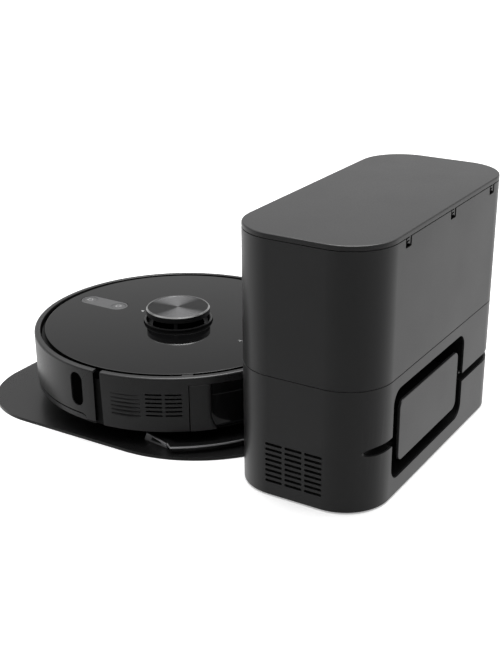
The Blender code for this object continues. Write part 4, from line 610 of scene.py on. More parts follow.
def rubber(name, tone=0.018, rough=0.72, grain=600.0):
    shader = Shader(name, specular=0.35)
    dust = shader.noise(38.0, 6.0, 0.7)
    shader.bsdf.inputs["Sheen Weight"].default_value = 0.08
    return shader.follow(dust, (grey(tone), grey(tone * 1.7), 0.4, 0.75),
                         (rough * 0.92, min(1.0, rough * 1.15)), 0.00003, relief=shader.noise(grain, 2.0))


def fleece():
    """Non-woven bag cloth: pressed fibres with a dimple grid and uneven thickness."""
    shader = Shader("bag_fleece", specular=0.15)
    fibres = shader.noise(420.0, 6.0, 0.75)
    dimples = shader.cells(260.0)
    shader.bsdf.inputs["Sheen Weight"].default_value = 0.25
    return shader.follow(fibres, ((0.60, 0.575, 0.53), (0.78, 0.76, 0.72)), (0.86, 1.0), 0.00025,
                         relief=shader.add(fibres, dimples))


def card():
    shader = Shader("collar_card", specular=0.2)
    pulp = shader.noise(240.0, 6.0, 0.7)
    return shader.follow(pulp, ((0.43, 0.34, 0.23), (0.57, 0.47, 0.34)), (0.78, 0.95), 0.00008)


def circuit_board():
    """Solder mask over a fine raster of copper tracks."""
    shader = Shader("circuit_board")
    tracks = shader.cells(320.0, "DISTANCE_TO_EDGE", (1.0, 2.2, 1.0))
    colours = ((0.035, 0.145, 0.075), (0.018, 0.085, 0.045), 0.02, 0.08)
    return shader.follow(tracks, colours, (0.30, 0.45, 0.0, 0.2), 0.00003)


def cell_wrap():
    shader = Shader("battery_wrap")
    film = shader.noise(60.0, 4.0, 0.6, (1.0, 1.0, 0.2))
    return shader.follow(film, ((0.030, 0.070, 0.190), (0.045, 0.100, 0.250)), (0.22, 0.42), 0.00012)


def foam():
    shader = Shader("foam", specular=0.15)
    # The cells' middles are darker than their walls: painted shade in the pores.
    pores = shader.cells(700.0, "DISTANCE_TO_EDGE")
    return shader.follow(pores, (grey(0.050), grey(0.012), 0.02, 0.25), (0.9, 1.0, 0.0, 0.3), 0.0006)


def filter_paper():
    shader = Shader("filter_pleats", specular=0.2)
    fibres = shader.noise(500.0, 5.0, 0.7)
    return shader.follow(fibres, ((0.70, 0.70, 0.68), (0.84, 0.84, 0.82)), (0.85, 1.0), 0.0004,
                         relief=shader.add(shader.waves(150.0), fibres))


def icon_print(tone):
    """Screen-printed marks, a little uneven at their scale."""
    shader = Shader("icon_print", specular=0.4)
    ink = shader.noise(900.0, 3.0)
    shader.colour(shader.blend(ink, grey(tone * 0.9), grey(tone * 1.05)))
    shader.roughness(shader.spread(ink, 0.45, 0.6))
    return shader.material


LOOKS = {
    "satin_black": moulded("satin_black", 0.012, 0.33),
    "robot_satin_black": moulded("robot_satin_black", 0.012, 0.30, 2100.0, 0.000008),
    "tray_black": moulded("tray_black", 0.007, 0.30, 1300.0, 0.000012),
    "matte_black": moulded("matte_black", 0.003, 0.62, 1100.0, 0.00002, 0.16),
    "gloss_black": polished("gloss_black", 0.003, 0.05),
    "dark_grey": moulded("dark_grey", 0.062, 0.48, 1400.0),
    "button_grey": moulded("button_grey", 0.066, 0.36, 2400.0, 0.000008),
    "light_grey": moulded("light_grey", 0.43, 0.45, 1400.0),
    "spun_metal": spun_metal(),
    "steel": brushed_steel("steel"),
    "rubber": rubber("rubber"),
    "tyre": rubber("tyre", 0.022, 0.80, 320.0),
    "foam": foam(),
    "bag_fleece": fleece(),
    "collar_card": card(),
    "circuit_board": circuit_board(),
    "battery_wrap": cell_wrap(),
    "bristle": rubber("bristle", 0.05, 0.55, 1500.0),
    "filter_pleats": filter_paper(),
}
ICON_LIGHT = icon_print(0.42)
# Deep black for the sensor lens and the laser rotor, and for the dark sheets in the bumper's end gaps, which are
# painted shade.
LENS_AND_SHADE_BLACK = polished("lens_and_shade_black", 0.0008, 0.30, specular=0.0)
OWN_LOOKS = {"lidar_rotor": LENS_AND_SHADE_BLACK}
LIP_METAL = brushed_steel("lip_metal", 0.42, 0.22)
# Light grey for the curb's top edge and front facet: a painted highlight on the tray's black plastic.
CURB_PAINTED_HIGHLIGHT = moulded("curb_painted_highlight", 0.200, 0.30, 1300.0, 0.000012)


def dress_cad_nodes():
    """Every CAD node takes the look of its material slot in the record."""
    for entry in frame["record"]["subparts"]:
        node = frame["nodes"][entry["node"]]
        node.data.materials.clear()
        node.data.materials.append(OWN_LOOKS.get(entry["node"], LOOKS[entry["material_slot"]]))


# ---------------------------------------------------------------- station
def station_plan(inset):
    width = STATION_W - 2 * inset
    depth = STATION_D - 2 * inset
    return rounded_rect(width, depth, CORNER_R - inset, 14, STATION.x, STATION.y)


def edge_round(z, size, up):
    """(inset, z) points of a small round between an upright face and a level one."""
    points = []
    for i in range(4):
        angle = math.pi / 2 * i / 3
        points.append((size * (1 - math.cos(angle)), z + up * size * (math.sin(angle) - 1)))
    return points


def shell_wall(low, high):
    outside = list(reversed(edge_round(low, EDGE, -1))) + edge_round(high, EDGE, 1)
    section = [(WALL, low)] + outside + [(WALL, high)]
    return loft([at_z(station_plan(inset), z) for inset, z in section], tube=True)


def wrap_outline(grow=0.0, steps=10):
    width = COVER_W + 2 * WRAP_MARGIN_X + 2 * grow
    height = COVER_H + 2 * WRAP_MARGIN_Z + 2 * grow
    return rounded_rect(width, height, WRAP_R + grow, steps, WRAP.x, WRAP.z)


def cord_slot(grow=0.0):
    """A half-round channel along the back, which thins to a leaf shape as the corners turn away."""
    section = []
    for i in range(17):
        angle = math.pi * i / 16
        section.append((BACK_Y - (SLOT_DEPTH + grow) * math.sin(angle),
                        SLOT_Z + (SLOT_H / 2 + grow) * math.cos(angle)))
    section += [(BACK_Y + WALL, SLOT_Z - SLOT_H / 2 - grow), (BACK_Y + WALL, SLOT_Z + SLOT_H / 2 + grow)]
    half = STATION_W / 2
    return loft([at_x(section, x) for x in (STATION.x - half, STATION.x + half)])


def port_outline(grow=0.0):
    return rounded_rect(PORT_W + 2 * grow, PORT_H + 2 * grow, PORT_R + grow, 6, 0.0, PORT_Z)


def make_lower_shell():
    shell = make_object("lower_shell", shell_wall(SHELL_LOW_Z, SEAM_LOW_Z))
    vents = bmesh.new()
    reach = (STATION.x + STATION_W / 2 - 2 * WALL, STATION.x + STATION_W / 2 + WALL)
    for column in range(VENT_COLUMNS):
        y = VENT_Y + (column - (VENT_COLUMNS - 1) / 2) * VENT_PITCH_Y
        for row in range(VENT_ROWS):
            z = VENT_LOW_Z + row * VENT_PITCH_Z + VENT_H / 2
            slot = rounded_rect(VENT_W, VENT_H, VENT_H * 0.42, 4, y, z)
            add_loft(vents, [at_x(slot, x) for x in reach])
    boolean(shell, vents)
    boolean(shell, slabs([wrap_outline()], BACK_Y - 2 * WALL, BACK_Y + WALL))
    boolean(shell, cord_slot())
    window = node_outline("beacon_window", 2 * FIT_GAP, 0.006, 6)
    boolean(shell, slabs([port_outline(), window], FRONT_Y - WALL, FRONT_Y + 2 * WALL))
    half = TONGUE_HALF_W + 0.0005
    boolean(shell, box_bm((-half, FRONT_Y - WALL, 0), (half, FRONT_Y + 2 * WALL, TONGUE_T + 0.0004)))
    dress(shell, "station", "satin_black", "station_lower_shell", bevel=0.0004, angle=55.0, segments=2)


def make_upper_shell():
    shell = make_object("upper_shell", shell_wall(SEAM_HIGH_Z, SHELL_TOP_Z))
    notches = bmesh.new()
    for x in HOOK_XS:
        outline = rounded_rect(NOTCH_W, 2 * NOTCH_H, 0.0012, 4, x, SHELL_TOP_Z)
        add_loft(notches, [at_y(outline, y) for y in (BACK_Y - 2 * WALL, BACK_Y + WALL)])
    boolean(shell, notches)
    dress(shell, "station", "satin_black", "station_upper_shell", bevel=0.0003, angle=55.0, segments=2)


def make_lid():
    """A shallow lid with a soft top edge; its hooks hang into the notches of the back wall."""
    top = STATION_TOP_Z
    inner_top = top - 0.0024
    section = [(WALL, inner_top), (WALL, LID_LOW_Z)]
    section += list(reversed(edge_round(LID_LOW_Z, EDGE, -1)))
    section += edge_round(top, LID_EDGE, 1)
    lid = make_object("lid_shell", loft([at_z(station_plan(i), z) for i, z in section]))
    dress(lid, "lid", "satin_black", "station_lid")
    hooks = bmesh.new()
    for x in HOOK_XS:
        stem = shifted(HOOK_SHAPE, x, LID_LOW_Z)
        add_loft(hooks, [at_y(stem, y) for y in (BACK_Y - HOOK_NEAR, BACK_Y - HOOK_FAR)])
    piece("lid_hooks", hooks, "lid", "satin_black", bevel=0.0002, segments=2)


def make_cord_wrap():
    """The recess that the cord winds in: a core under the flush cover, walls, slots and clips."""
    depth = BACK_Y - WALL - FIT_GAP
    floor = depth - WRAP_DEPTH
    tub = make_object("wrap_tub", slabs([wrap_outline(TUB_SKIN)], floor - TUB_SKIN, depth))
    arms = box_bm((STATION.x - STATION_W / 2, BACK_Y - SLOT_DEPTH - 0.0025, SLOT_Z - SLOT_H / 2 - TUB_SKIN),
                  (STATION.x + STATION_W / 2, depth, SLOT_Z + SLOT_H / 2 + TUB_SKIN))
    boolean(tub, arms, "UNION")
    boolean(tub, prisms([station_plan(WALL + FIT_GAP)], 0, SEAM_LOW_Z), "INTERSECT")
    core = rounded_rect(COVER_W - 2 * CORE_INSET, COVER_H - 2 * CORE_INSET, COVER_R, 8, WRAP.x, WRAP.z)
    channel = wrap_outline(0.0, 8)
    ring = ((channel, floor), (channel, BACK_Y + WALL), (core, BACK_Y + WALL), (core, floor))
    boolean(tub, stack_y(ring, tube=True))
    boolean(tub, cord_slot(-0.0002))
    cover_y = BACK_Y - COVER_T - FIT_GAP
    boolean(tub, box_bm((WRAP.x - COVER_W / 2, cover_y, WRAP.z - COVER_H / 2),
                        (WRAP.x + COVER_W / 2, BACK_Y + WALL, WRAP.z + COVER_H / 2)))
    dress(tub, "station", "matte_black", "cord_wrap_tub", bevel=0.0003, angle=55.0, segments=2)

    clips = bmesh.new()
    for sign in (-1, 1):
        wall = WRAP.x + sign * (COVER_W / 2 + WRAP_MARGIN_X)
        x_low, x_high = sorted((wall, wall - sign * CLIP_L))
        outline = rounded_rect(x_high - x_low, CLIP_H, 0.0010, 4, (x_low + x_high) / 2,
                               SLOT_Z + SLOT_H / 2 + CLIP_RISE)
        add_loft(clips, [at_y(outline, y) for y in (depth - CLIP_D, depth)])
    piece("cord_clips", clips, "station", "satin_black", bevel=0.0003, segments=2)

    levels = []
    for inset, deep in ((0.0, COVER_T), (0.0, 0.0010), (0.0003, 0.0003), (0.0010, 0.0)):
        width = COVER_W - 2 * inset
        height = COVER_H - 2 * inset
        outline = rounded_rect(width, height, COVER_R - inset, 10, WRAP.x, WRAP.z)
        levels.append((outline, BACK_Y - deep))
    piece("wrap_cover", stack_y(levels), "station", "satin_black", "cord_wrap_cover")


def make_inlet_seal():
    """A rubber mouth with two soft folds, cut to the round of the bin that presses on it."""
    low_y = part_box("inlet_seal")[0].y
    shares = [i / SEAL_STEPS for i in range(SEAL_STEPS + 1)]
    folds = [SEAL_LIP - SEAL_FOLD * (1 - math.cos(2 * math.pi * SEAL_FOLDS * t)) / 2 for t in shares]
    levels = []
    for grow, t in list(zip(folds, shares)) + [(0.0, t) for t in reversed(shares)]:
        levels.append((port_outline(grow), FRONT_Y - FIT_GAP - t * (FRONT_Y - low_y - FIT_GAP)))
    seal = make_object("seal_mouth", stack_y(levels, tube=True))
    bite = prisms([circle(ROBOT.x, ROBOT.y, BIN_R + FIT_GAP, 180)], 0, 0.1)
    boolean(seal, bite)
    dress(seal, "station", "rubber", "inlet_seal", bevel=0.0003, angle=60.0, segments=2)


def make_bag():
    """A part-filled fleece bag: puffed sides, a welded seam all round, and creases at the collar."""
    low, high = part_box("dust_bag")
    middle = (low + high) / 2
    half = (high - low) / 2
    layers = 28
    around = 16
    rings = []
    for i in range(layers + 1):
        t = -1 + 2 * i / layers
        swell = (1 - min(1.0, abs(t)) ** 3) ** (1 / 3)
        share = 0.62 + 0.38 * swell
        ring = []
        width = 2 * half.x * share
        height = 2 * half.z * share
        outline = rounded_rect(width, height, min(width, height) * 0.34, around)
        for k, (x, z) in enumerate(outline):
            angle = 2 * math.pi * k / len(outline)
            crease = 0.5 + 0.5 * math.cos(9 * angle + 1.7 * math.sin(3 * angle))
            pull = 1 - 0.030 * crease * (1 - 0.6 * swell) - 0.012 * crease
            if i == layers // 2:
                pull = 1.0
            ring.append((middle.x + x * pull, middle.y + half.y * t, middle.z + z * pull))
        rings.append(ring)
    piece("bag_body", loft(rings), "station", "bag_fleece", "dust_bag")


# ---------------------------------------------------------------- tray
def tray_plan():
    """The tray's plan: a round front, flanks that pull in towards the station, and a tongue."""
    half = (TRAY_HIGH.x - TRAY_LOW.x) / 2
    front = TRAY_LOW.y
    front_r = 0.098
    rear_r = 0.160
    rear_y = ROBOT.y + 0.047
    neck_y = FRONT_Y - FIT_GAP
    neck = math.degrees(math.asin((neck_y - rear_y) / rear_r))
    right = arc(half - front_r, front + front_r, front_r, -90, 0, 24)
    right += arc(half - rear_r, rear_y, rear_r, 0, neck, 20)
    right += [(TONGUE_HALF_W, neck_y), (TONGUE_HALF_W, TRAY_HIGH.y)]
    return right + [(-x, y) for x, y in reversed(right)]


def platform_plan(front_x, front_y, knee_x, knee_y, radius, knee):
    """The docking platform: a slanted facet at its front corner, then round to the station."""
    end = math.degrees(math.asin(min(0.9999, (FRONT_Y - FIT_GAP - ROBOT.y) / radius)))
    right = [(front_x, ROBOT.y + front_y), (knee_x, ROBOT.y + knee_y)]
    right += round_robot(radius, knee, end, 20)
    return right + [(-x, y) for x, y in reversed(right)]


def make_tray():
    tray = make_object("tray_body", prisms([tray_plan()], 0, TRAY_T))
    tongue = box_bm((-0.08, FRONT_Y - 0.0002, TONGUE_T), (0.08, TRAY_HIGH.y + 0.01, 0.01))
    boolean(tray, tongue)
    foot = platform_plan(*PLATFORM_FOOT)
    rim = platform_plan(*PLATFORM_RIM)
    boolean(tray, stack(((foot, TRAY_T / 2), (foot, TRAY_T), (rim, CURB_Z))), "UNION")
    dish = platform_plan(*PLATFORM_DISH)
    boolean(tray, prisms([dish], PLATFORM_Z, CURB_Z + TRAY_T))
    ramp_y = ROBOT.y + 0.042
    ramp = [[(x, ramp_y, TRAY_T), (x, ramp_y + 0.032, PLATFORM_Z + 0.0003),
             (x, ramp_y + 0.032, CURB_Z + TRAY_T), (x, ramp_y, CURB_Z + TRAY_T)] for x in (-0.1368, 0.1368)]
    boolean(tray, loft(ramp))
    pads = [node_outline("charge_contact_" + side, 0.001, 0.0024, 4, upright=False)
            for side in ("right", "left")]
    boolean(tray, prisms(pads, 0.002, CURB_Z + TRAY_T))
    dress(tray, "station", "tray_black", "floor_tray", bevel=0.0006, angle=42.0, segments=3)
    # A thin light strip along the curb's top edge and a light slab on its front facet: painted highlights where
    # the black tray catches light.
    highlight_bm = bmesh.new()
    for side in (1, -1):
        inner = platform_plan(*PLATFORM_HIGHLIGHT)[1:23]
        strip = [(side * x, y) for x, y in rim[1:23] + inner[::-1]]
        add_prism(highlight_bm, strip[::side], CURB_Z - CURB_HIGHLIGHT_H, CURB_Z + CURB_PROUD)
        face = [(foot[0], TRAY_T), (foot[1], TRAY_T), (rim[1], CURB_Z), (rim[0], CURB_Z)]
        rings = []
        for proud in (CURB_FACE_PROUD, -CURB_FACE_PROUD):
            rings.append([(side * (x + proud), y - proud / 3, z) for (x, y), z in face[::side]])
        add_loft(highlight_bm, rings)
    piece("curb_highlight_sheet", highlight_bm, "station", "tray_black", bevel=0.0002, look=CURB_PAINTED_HIGHLIGHT)


# ---------------------------------------------------------------- robot shells
def rim_section(low, step_z=None, wall=SIDE_WALL):
    """Section of the robot's side wall with its rounded top rim; a step insets the lower part."""
    points = [(ROBOT_R - wall, low)]
    if step_z:
        floor = step_z - STEP_GROOVE_H
        points += [(ROBOT_R - STEP_D - 0.0003, low), (ROBOT_R - STEP_D, low + 0.0003),
                   (ROBOT_R - STEP_D, floor), (ROBOT_R - STEP_GROOVE_D, floor + 0.0001),
                   (ROBOT_R - STEP_GROOVE_D, step_z), (ROBOT_R, step_z + 0.0001)]
    for i in range(6):
        angle = math.pi / 2 * i / 5
        points.append((ROBOT_R - RIM_ROUND * (1 - math.cos(angle)),
                       RIM_TOP_Z - RIM_ROUND * (1 - math.sin(angle))))
    inner = ROBOT_R - RIM_W
    points += [(inner + 0.0005, RIM_TOP_Z), (inner, RIM_TOP_Z - 0.0005), (inner, RIM_TOP_Z - RIM_T),
               (ROBOT_R - wall, RIM_TOP_Z - RIM_T)]
    return points


def step_height(degrees):
    """The stepped line round the bumper's foot drops away in a small round at both ends."""
    past = abs(degrees + 90) - (90 + STEP_END)
    if past <= -STEP_ROUND:
        return STEP_Z
    share = min(1.0, (past + STEP_ROUND) / STEP_ROUND)
    fall = STEP_Z - BUMPER_LOW_Z - 0.0016
    return STEP_Z - fall * (1 - math.sqrt(max(0.0, 1 - share * share)))


def on_wall(shape, inner, outer):
    """Rings of a shape given as (degrees, height), on two rounds about the robot's axis."""
    return [[polar(radius, degrees, z) for degrees, z in shape] for radius in (inner, outer)]


def sensor_solid(grow, inner, outer):
    """A capsule-shaped plug through the side wall, its faces on the wall's round."""
    shape = stadium(SENSOR_HIGH_Z - SENSOR_LOW_Z + 2 * grow, SENSOR_W + 2 * grow, 12,
                    0.0, (SENSOR_LOW_Z + SENSOR_HIGH_Z) / 2)
    return loft(on_wall([(SENSOR_DEG + math.degrees(x / ROBOT_R), z) for x, z in shape], inner, outer))


def make_bumper():
    def section(degrees):
        return rim_section(BUMPER_LOW_Z, step_height(degrees), 0.0032)

    bumper = make_object("bumper_shell", sweep(section, -180 - BUMPER_END, BUMPER_END, 0.8))
    boolean(bumper, sensor_solid(0.0006, ROBOT_R - 0.010, ROBOT_R + 0.004))
    dress(bumper, "bumper", "robot_satin_black", "bumper", bevel=0.0004, angle=60.0, segments=2)
    # Dark sheets just inside the bumper's ends: painted shade in the gaps to the rear shell.
    ends = bmesh.new()
    for start in (BUMPER_END + 0.02, -180 - BUMPER_END - 0.12):
        outline = band(ROBOT_R - 0.0031, ROBOT_R - 0.0003, start, start + 0.1, 1)
        add_prism(ends, outline, BUMPER_LOW_Z + 0.003, RIM_TOP_Z - RIM_T)
    piece("bumper_end_painted_shade", ends, "bumper", "matte_black", look=LENS_AND_SHADE_BLACK)
    lens = sensor_solid(0.0, ROBOT_R - 0.0028, ROBOT_R - 0.0012)
    piece("sensor_lens", lens, "bumper", "gloss_black", "wall_sensor_window", bevel=0.0006, angle=60.0,
          look=LENS_AND_SHADE_BLACK)


def make_rear_shell():
    shell = make_object(
        "rear_skin", sweep(lambda degrees: rim_section(SKIRT_Z), SHELL_START, 180 - SHELL_START, 1.0)
    )
    bay = band(ROBOT_R - RIM_W - 0.002, ROBOT_R + 0.004, BIN_SEAM, 180 - BIN_SEAM, 60)
    boolean(shell, prisms([bay], 0, BAY_TOP_Z))
    vents = bmesh.new()
    for base in SIDE_VENT_DEGS:
        for middle in (base, 180 - base):
            half = SIDE_VENT_SWEEP / 2
            for row in range(SIDE_VENT_ROWS):
                z = SIDE_VENT_LOW_Z + row * SIDE_VENT_PITCH + SIDE_VENT_H / 2
                slot = rounded_slot(middle, half, z, SIDE_VENT_H, ROBOT_R - 0.005, ROBOT_R + 0.003)
                add_loft(vents, slot)
    boolean(shell, vents)
    grips = bmesh.new()
    shade = bmesh.new()
    for middle in ((GRIP_START + GRIP_END) / 2, 180 - (GRIP_START + GRIP_END) / 2):
        for row in range(GRIP_COUNT):
            z = GRIP_LOW_Z + row * GRIP_PITCH
            half = (GRIP_END - GRIP_START) / 2
            add_loft(grips, rounded_slot(middle, half, z, GRIP_H, ROBOT_R - GRIP_D, ROBOT_R + 0.003))
            add_loft(shade, rounded_slot(middle, half, z, GRIP_H + 0.0002, ROBOT_R - 0.0018,
                                         ROBOT_R - GRIP_D + 0.0004))
    boolean(shell, grips)
    dress(shell, "robot", "robot_satin_black", "rear_shell", bevel=0.00025, angle=60.0, segments=2)
    piece("grip_shade", shade, "robot", "robot_satin_black")
    # Dark sheets behind the gaps between the bumper's ends and the rear shell: painted shade where the chassis
    # would show lit.
    gap_shade = bmesh.new()
    for start in (-BUMPER_END - 1.0, 180 - SHELL_START - 1.0):
        outline = band(ROBOT_R - 0.0074, ROBOT_R - 0.0044, start, start + SHELL_START + BUMPER_END + 2.0, 8)
        add_prism(gap_shade, outline, SKIRT_Z + 0.001, RIM_TOP_Z - 0.0034)
    piece("gap_painted_shade", gap_shade, "robot", "matte_black", look=LENS_AND_SHADE_BLACK)
    plan = band(TAB_IN_R, TAB_OUT_R, TAB_START, TAB_END, 6)
    tab = prisms([plan], GLASS_TOP_Z - 0.0040, GLASS_TOP_Z - 0.0006)
    piece("groove_tab", tab, "robot", "robot_satin_black", bevel=0.0005)


def rounded_slot(middle, half, z, height, inner, outer):
    """Rings of a slot with rounded ends that follows the wall's round."""
    steps = 8
    outline = []
    end = math.degrees(height / 2 / ROBOT_R)
    straight = half - end
    for sign in (1, -1):
        for i in range(steps + 1):
            along = 2 * straight * i / steps - straight
            outline.append((middle + sign * along, z + sign * height / 2))
        for i in range(1, 4):
            angle = math.pi * (0.5 - i / 4)
            outline.append((middle + sign * (straight + end * math.cos(angle)),
                            z + sign * height / 2 * math.sin(angle)))
    return on_wall(outline, inner, outer)


def bin_plan(inset):
    radius = BIN_R - inset
    half = BIN_HALF_W - inset
    start = math.degrees(math.acos(half / radius))
    points = round_robot(radius, start, 180 - start, 60)
    front = ROBOT.y + BIN_FRONT + inset
    return points + [(ROBOT.x - half, front), (ROBOT.x + half, front)]


def bin_half(name, levels):
    return make_object(name, stack([(bin_plan(inset), z) for inset, z in levels]))


def bin_mouth(half, low, high):
    """A cutter through the bin's front wall."""
    front = ROBOT.y + BIN_FRONT
    return box_bm((-half, front - BIN_WALL, low), (half, front + 2 * BIN_WALL, high))


def make_bin():
    """The glossy bin: an open box below, a cover above, and satin wings flush with the robot's side."""
    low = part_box("dust_bin")[0].z
    bin_box = bin_half("bin_box", (
        (0.0004, low), (0.0, low + 0.0006), (0.0, BIN_SPLIT_Z - 0.0011), (0.0007, BIN_SPLIT_Z - 0.0004),
        (BIN_WALL, BIN_SPLIT_Z - 0.0004), (BIN_WALL, low + BIN_WALL)))
    boolean(bin_box, slabs([port_outline()], ROBOT.y + BIN_R - 0.012, ROBOT.y + BIN_R + 0.008))
    boolean(bin_box, bin_mouth(PORT_W / 2, low + 0.004, low + 0.020))
    dress(bin_box, "robot", "gloss_black", "dust_bin", bevel=0.0003, angle=60.0, segments=2)

    top = BIN_TOP_Z
    cover = bin_half("bin_lid", (
        (0.0008, top), (0.0, top - 0.0008), (0.0, BIN_SPLIT_Z + 0.0008), (0.0005, BIN_SPLIT_Z + 0.0003),
        (BIN_WALL, BIN_SPLIT_Z + 0.0003), (BIN_WALL, top - BIN_WALL)))
    release = node_outline("bin_release_button", 0.001, 0.0034, 6)
    boolean(cover, slabs([release], ROBOT.y + BIN_R - 0.012, ROBOT.y + BIN_R + 0.006))
    boolean(cover, bin_mouth(0.056, BIN_SPLIT_Z + 0.002, top - 0.004))
    dress(cover, "robot", "gloss_black", "bin_cover", bevel=0.0003, angle=60.0, segments=2)
    key_low, key_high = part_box("bin_release_button")
    levels = []
    for inset, y in ((0.0, key_low.y), (0.0, key_high.y - 0.001), (0.001, key_high.y)):
        levels.append((node_outline("bin_release_button", -2 * inset, 0.003 - inset * 0.6, 6), y))
    piece("release_key", stack_y(levels), "bin_release", "robot_satin_black", "bin_release_button",
          bevel=0.0003)

    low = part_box("bin_cover")[0].z
    wings = bmesh.new()
    for side in (0, 1):
        rings = []
        for i in range(15):
            z = low + (BIN_TOP_Z - low) * i / 14
            flare = WING_FLARE * max(0.0, 1 - i / 5) ** 2
            outline = wing_outline(WING_END + flare)
            if side:
                outline = [(2 * ROBOT.x - x, y) for x, y in reversed(outline)]
            rings.append(at_z(outline, z))
        add_loft(wings, rings)
    piece("bin_wings", wings, "robot", "robot_satin_black", bevel=0.0004, angle=60.0)


def wing_outline(end):
    """Plan of a wing: flush with the robot's side, its free edge rounded back to the bin's face."""
    points = round_robot(ROBOT_R, WING_START, end - 0.6, 10)
    points += [polar(ROBOT_R - 0.0006, end - 0.2), polar(ROBOT_R - 0.0022, end)]
    points += [polar(BIN_R - 0.0005, end + 0.2), polar(BIN_R - 0.0005, WING_START + 1.2)]
    return points + [polar(ROBOT_R - WING_T, WING_START + 0.9), polar(ROBOT_R - WING_T, WING_START)]


# ---------------------------------------------------------------- robot top
def pill(grow):
    return stadium(PILL_L + 2 * grow, PILL_W + 2 * grow, 20, ROBOT.x, ROBOT.y + PILL_Y)


def make_glass():
    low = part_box("top_cover")[0].z
    levels = ((GLASS_R, GLASS_TOP_Z - GLASS_T), (GLASS_R, GLASS_TOP_Z - GLASS_EDGE),
              (GLASS_R - 0.3 * GLASS_EDGE, GLASS_TOP_Z - 0.3 * GLASS_EDGE),
              (GLASS_R - GLASS_EDGE, GLASS_TOP_Z))
    glass = make_object("cover_glass", turned(ROBOT.x, ROBOT.y, levels, 144))
    hole = circle(ROBOT.x, ROBOT.y, TURRET_HOLE_R, 120)
    boolean(glass, prisms([hole, pill(FIT_GAP)], low - 0.01, GLASS_TOP_Z + 0.01))
    dress(glass, "robot", "gloss_black", "top_cover", bevel=0.00035, angle=60.0, segments=2)
    skirt_top = GLASS_TOP_Z - 0.003
    section = [(GLASS_R - 0.008, low), (GLASS_R - 0.004, low), (GLASS_R - 0.004, skirt_top),
               (GLASS_R - 0.008, skirt_top)]
    piece("cover_skirt", sweep(section, 0, 360, 6.0), "robot", "matte_black")
    marks = prisms([shifted(mark, ROBOT.x, ROBOT.y) for mark in COVER_MARKS], GLASS_TOP_Z,
                   GLASS_TOP_Z + HAIRLINE)
    piece("cover_marks", marks, "robot", "gloss_black", look=ICON_LIGHT)


def make_panel():
    levels = ((0.0, GLASS_TOP_Z - 0.0030), (0.0, PANEL_TOP_Z - 0.0003), (0.0003, PANEL_TOP_Z))
    panel = make_object("panel_plate", stack([(pill(-inset), z) for inset, z in levels]))
    holes = [circle(ROBOT.x, y, BUTTON_R + FIT_GAP, 60) for y in button_ys()]
    boolean(panel, prisms(holes, 0.05, 0.12))
    dress(panel, "robot", "button_grey", "button_panel", bevel=0.0002, angle=60.0, segments=2)
    for (node, body, icon), y in zip((("home_button", "home_key", home_icon),
                                      ("power_button", "power_key", power_icon)), button_ys()):
        make_button(node, body, y, icon)


def button_ys():
    middle = ROBOT.y + PILL_Y
    return (middle - BUTTON_SPACING / 2, middle + BUTTON_SPACING / 2)


def make_button(node, body, y, icon):
    top = PANEL_TOP_Z
    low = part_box(node)[0].z
    levels = ((BUTTON_R * 0.4, low), (BUTTON_R * 0.4, top - 0.0025), (BUTTON_R, top - 0.0025),
              (BUTTON_R, top - 0.0004), (BUTTON_R - 0.0004, top - 0.00005), (BUTTON_R * 0.5, top - 0.0003))
    piece(node + "_cap", turned(ROBOT.x, y, levels, 60), body, "button_grey", node)
    marks = prisms(icon(ROBOT.x, y), top - 0.0004, top - 0.00004)
    piece(node + "_icon", marks, body, "button_grey", look=ICON_LIGHT)


def power_icon(x, y):
    """A broken ring and a bar, read from the robot's front."""
    ring = arc(x, y, 0.00375, 125, 415, 24) + arc(x, y, 0.00305, 415, 125, 24)
    return [ring, shifted(POWER_STEM, x, y)]


def home_icon(x, y):
    """The outline of a small house."""
    return [shifted(shape, x, y) for shape in HOME_SHAPES]


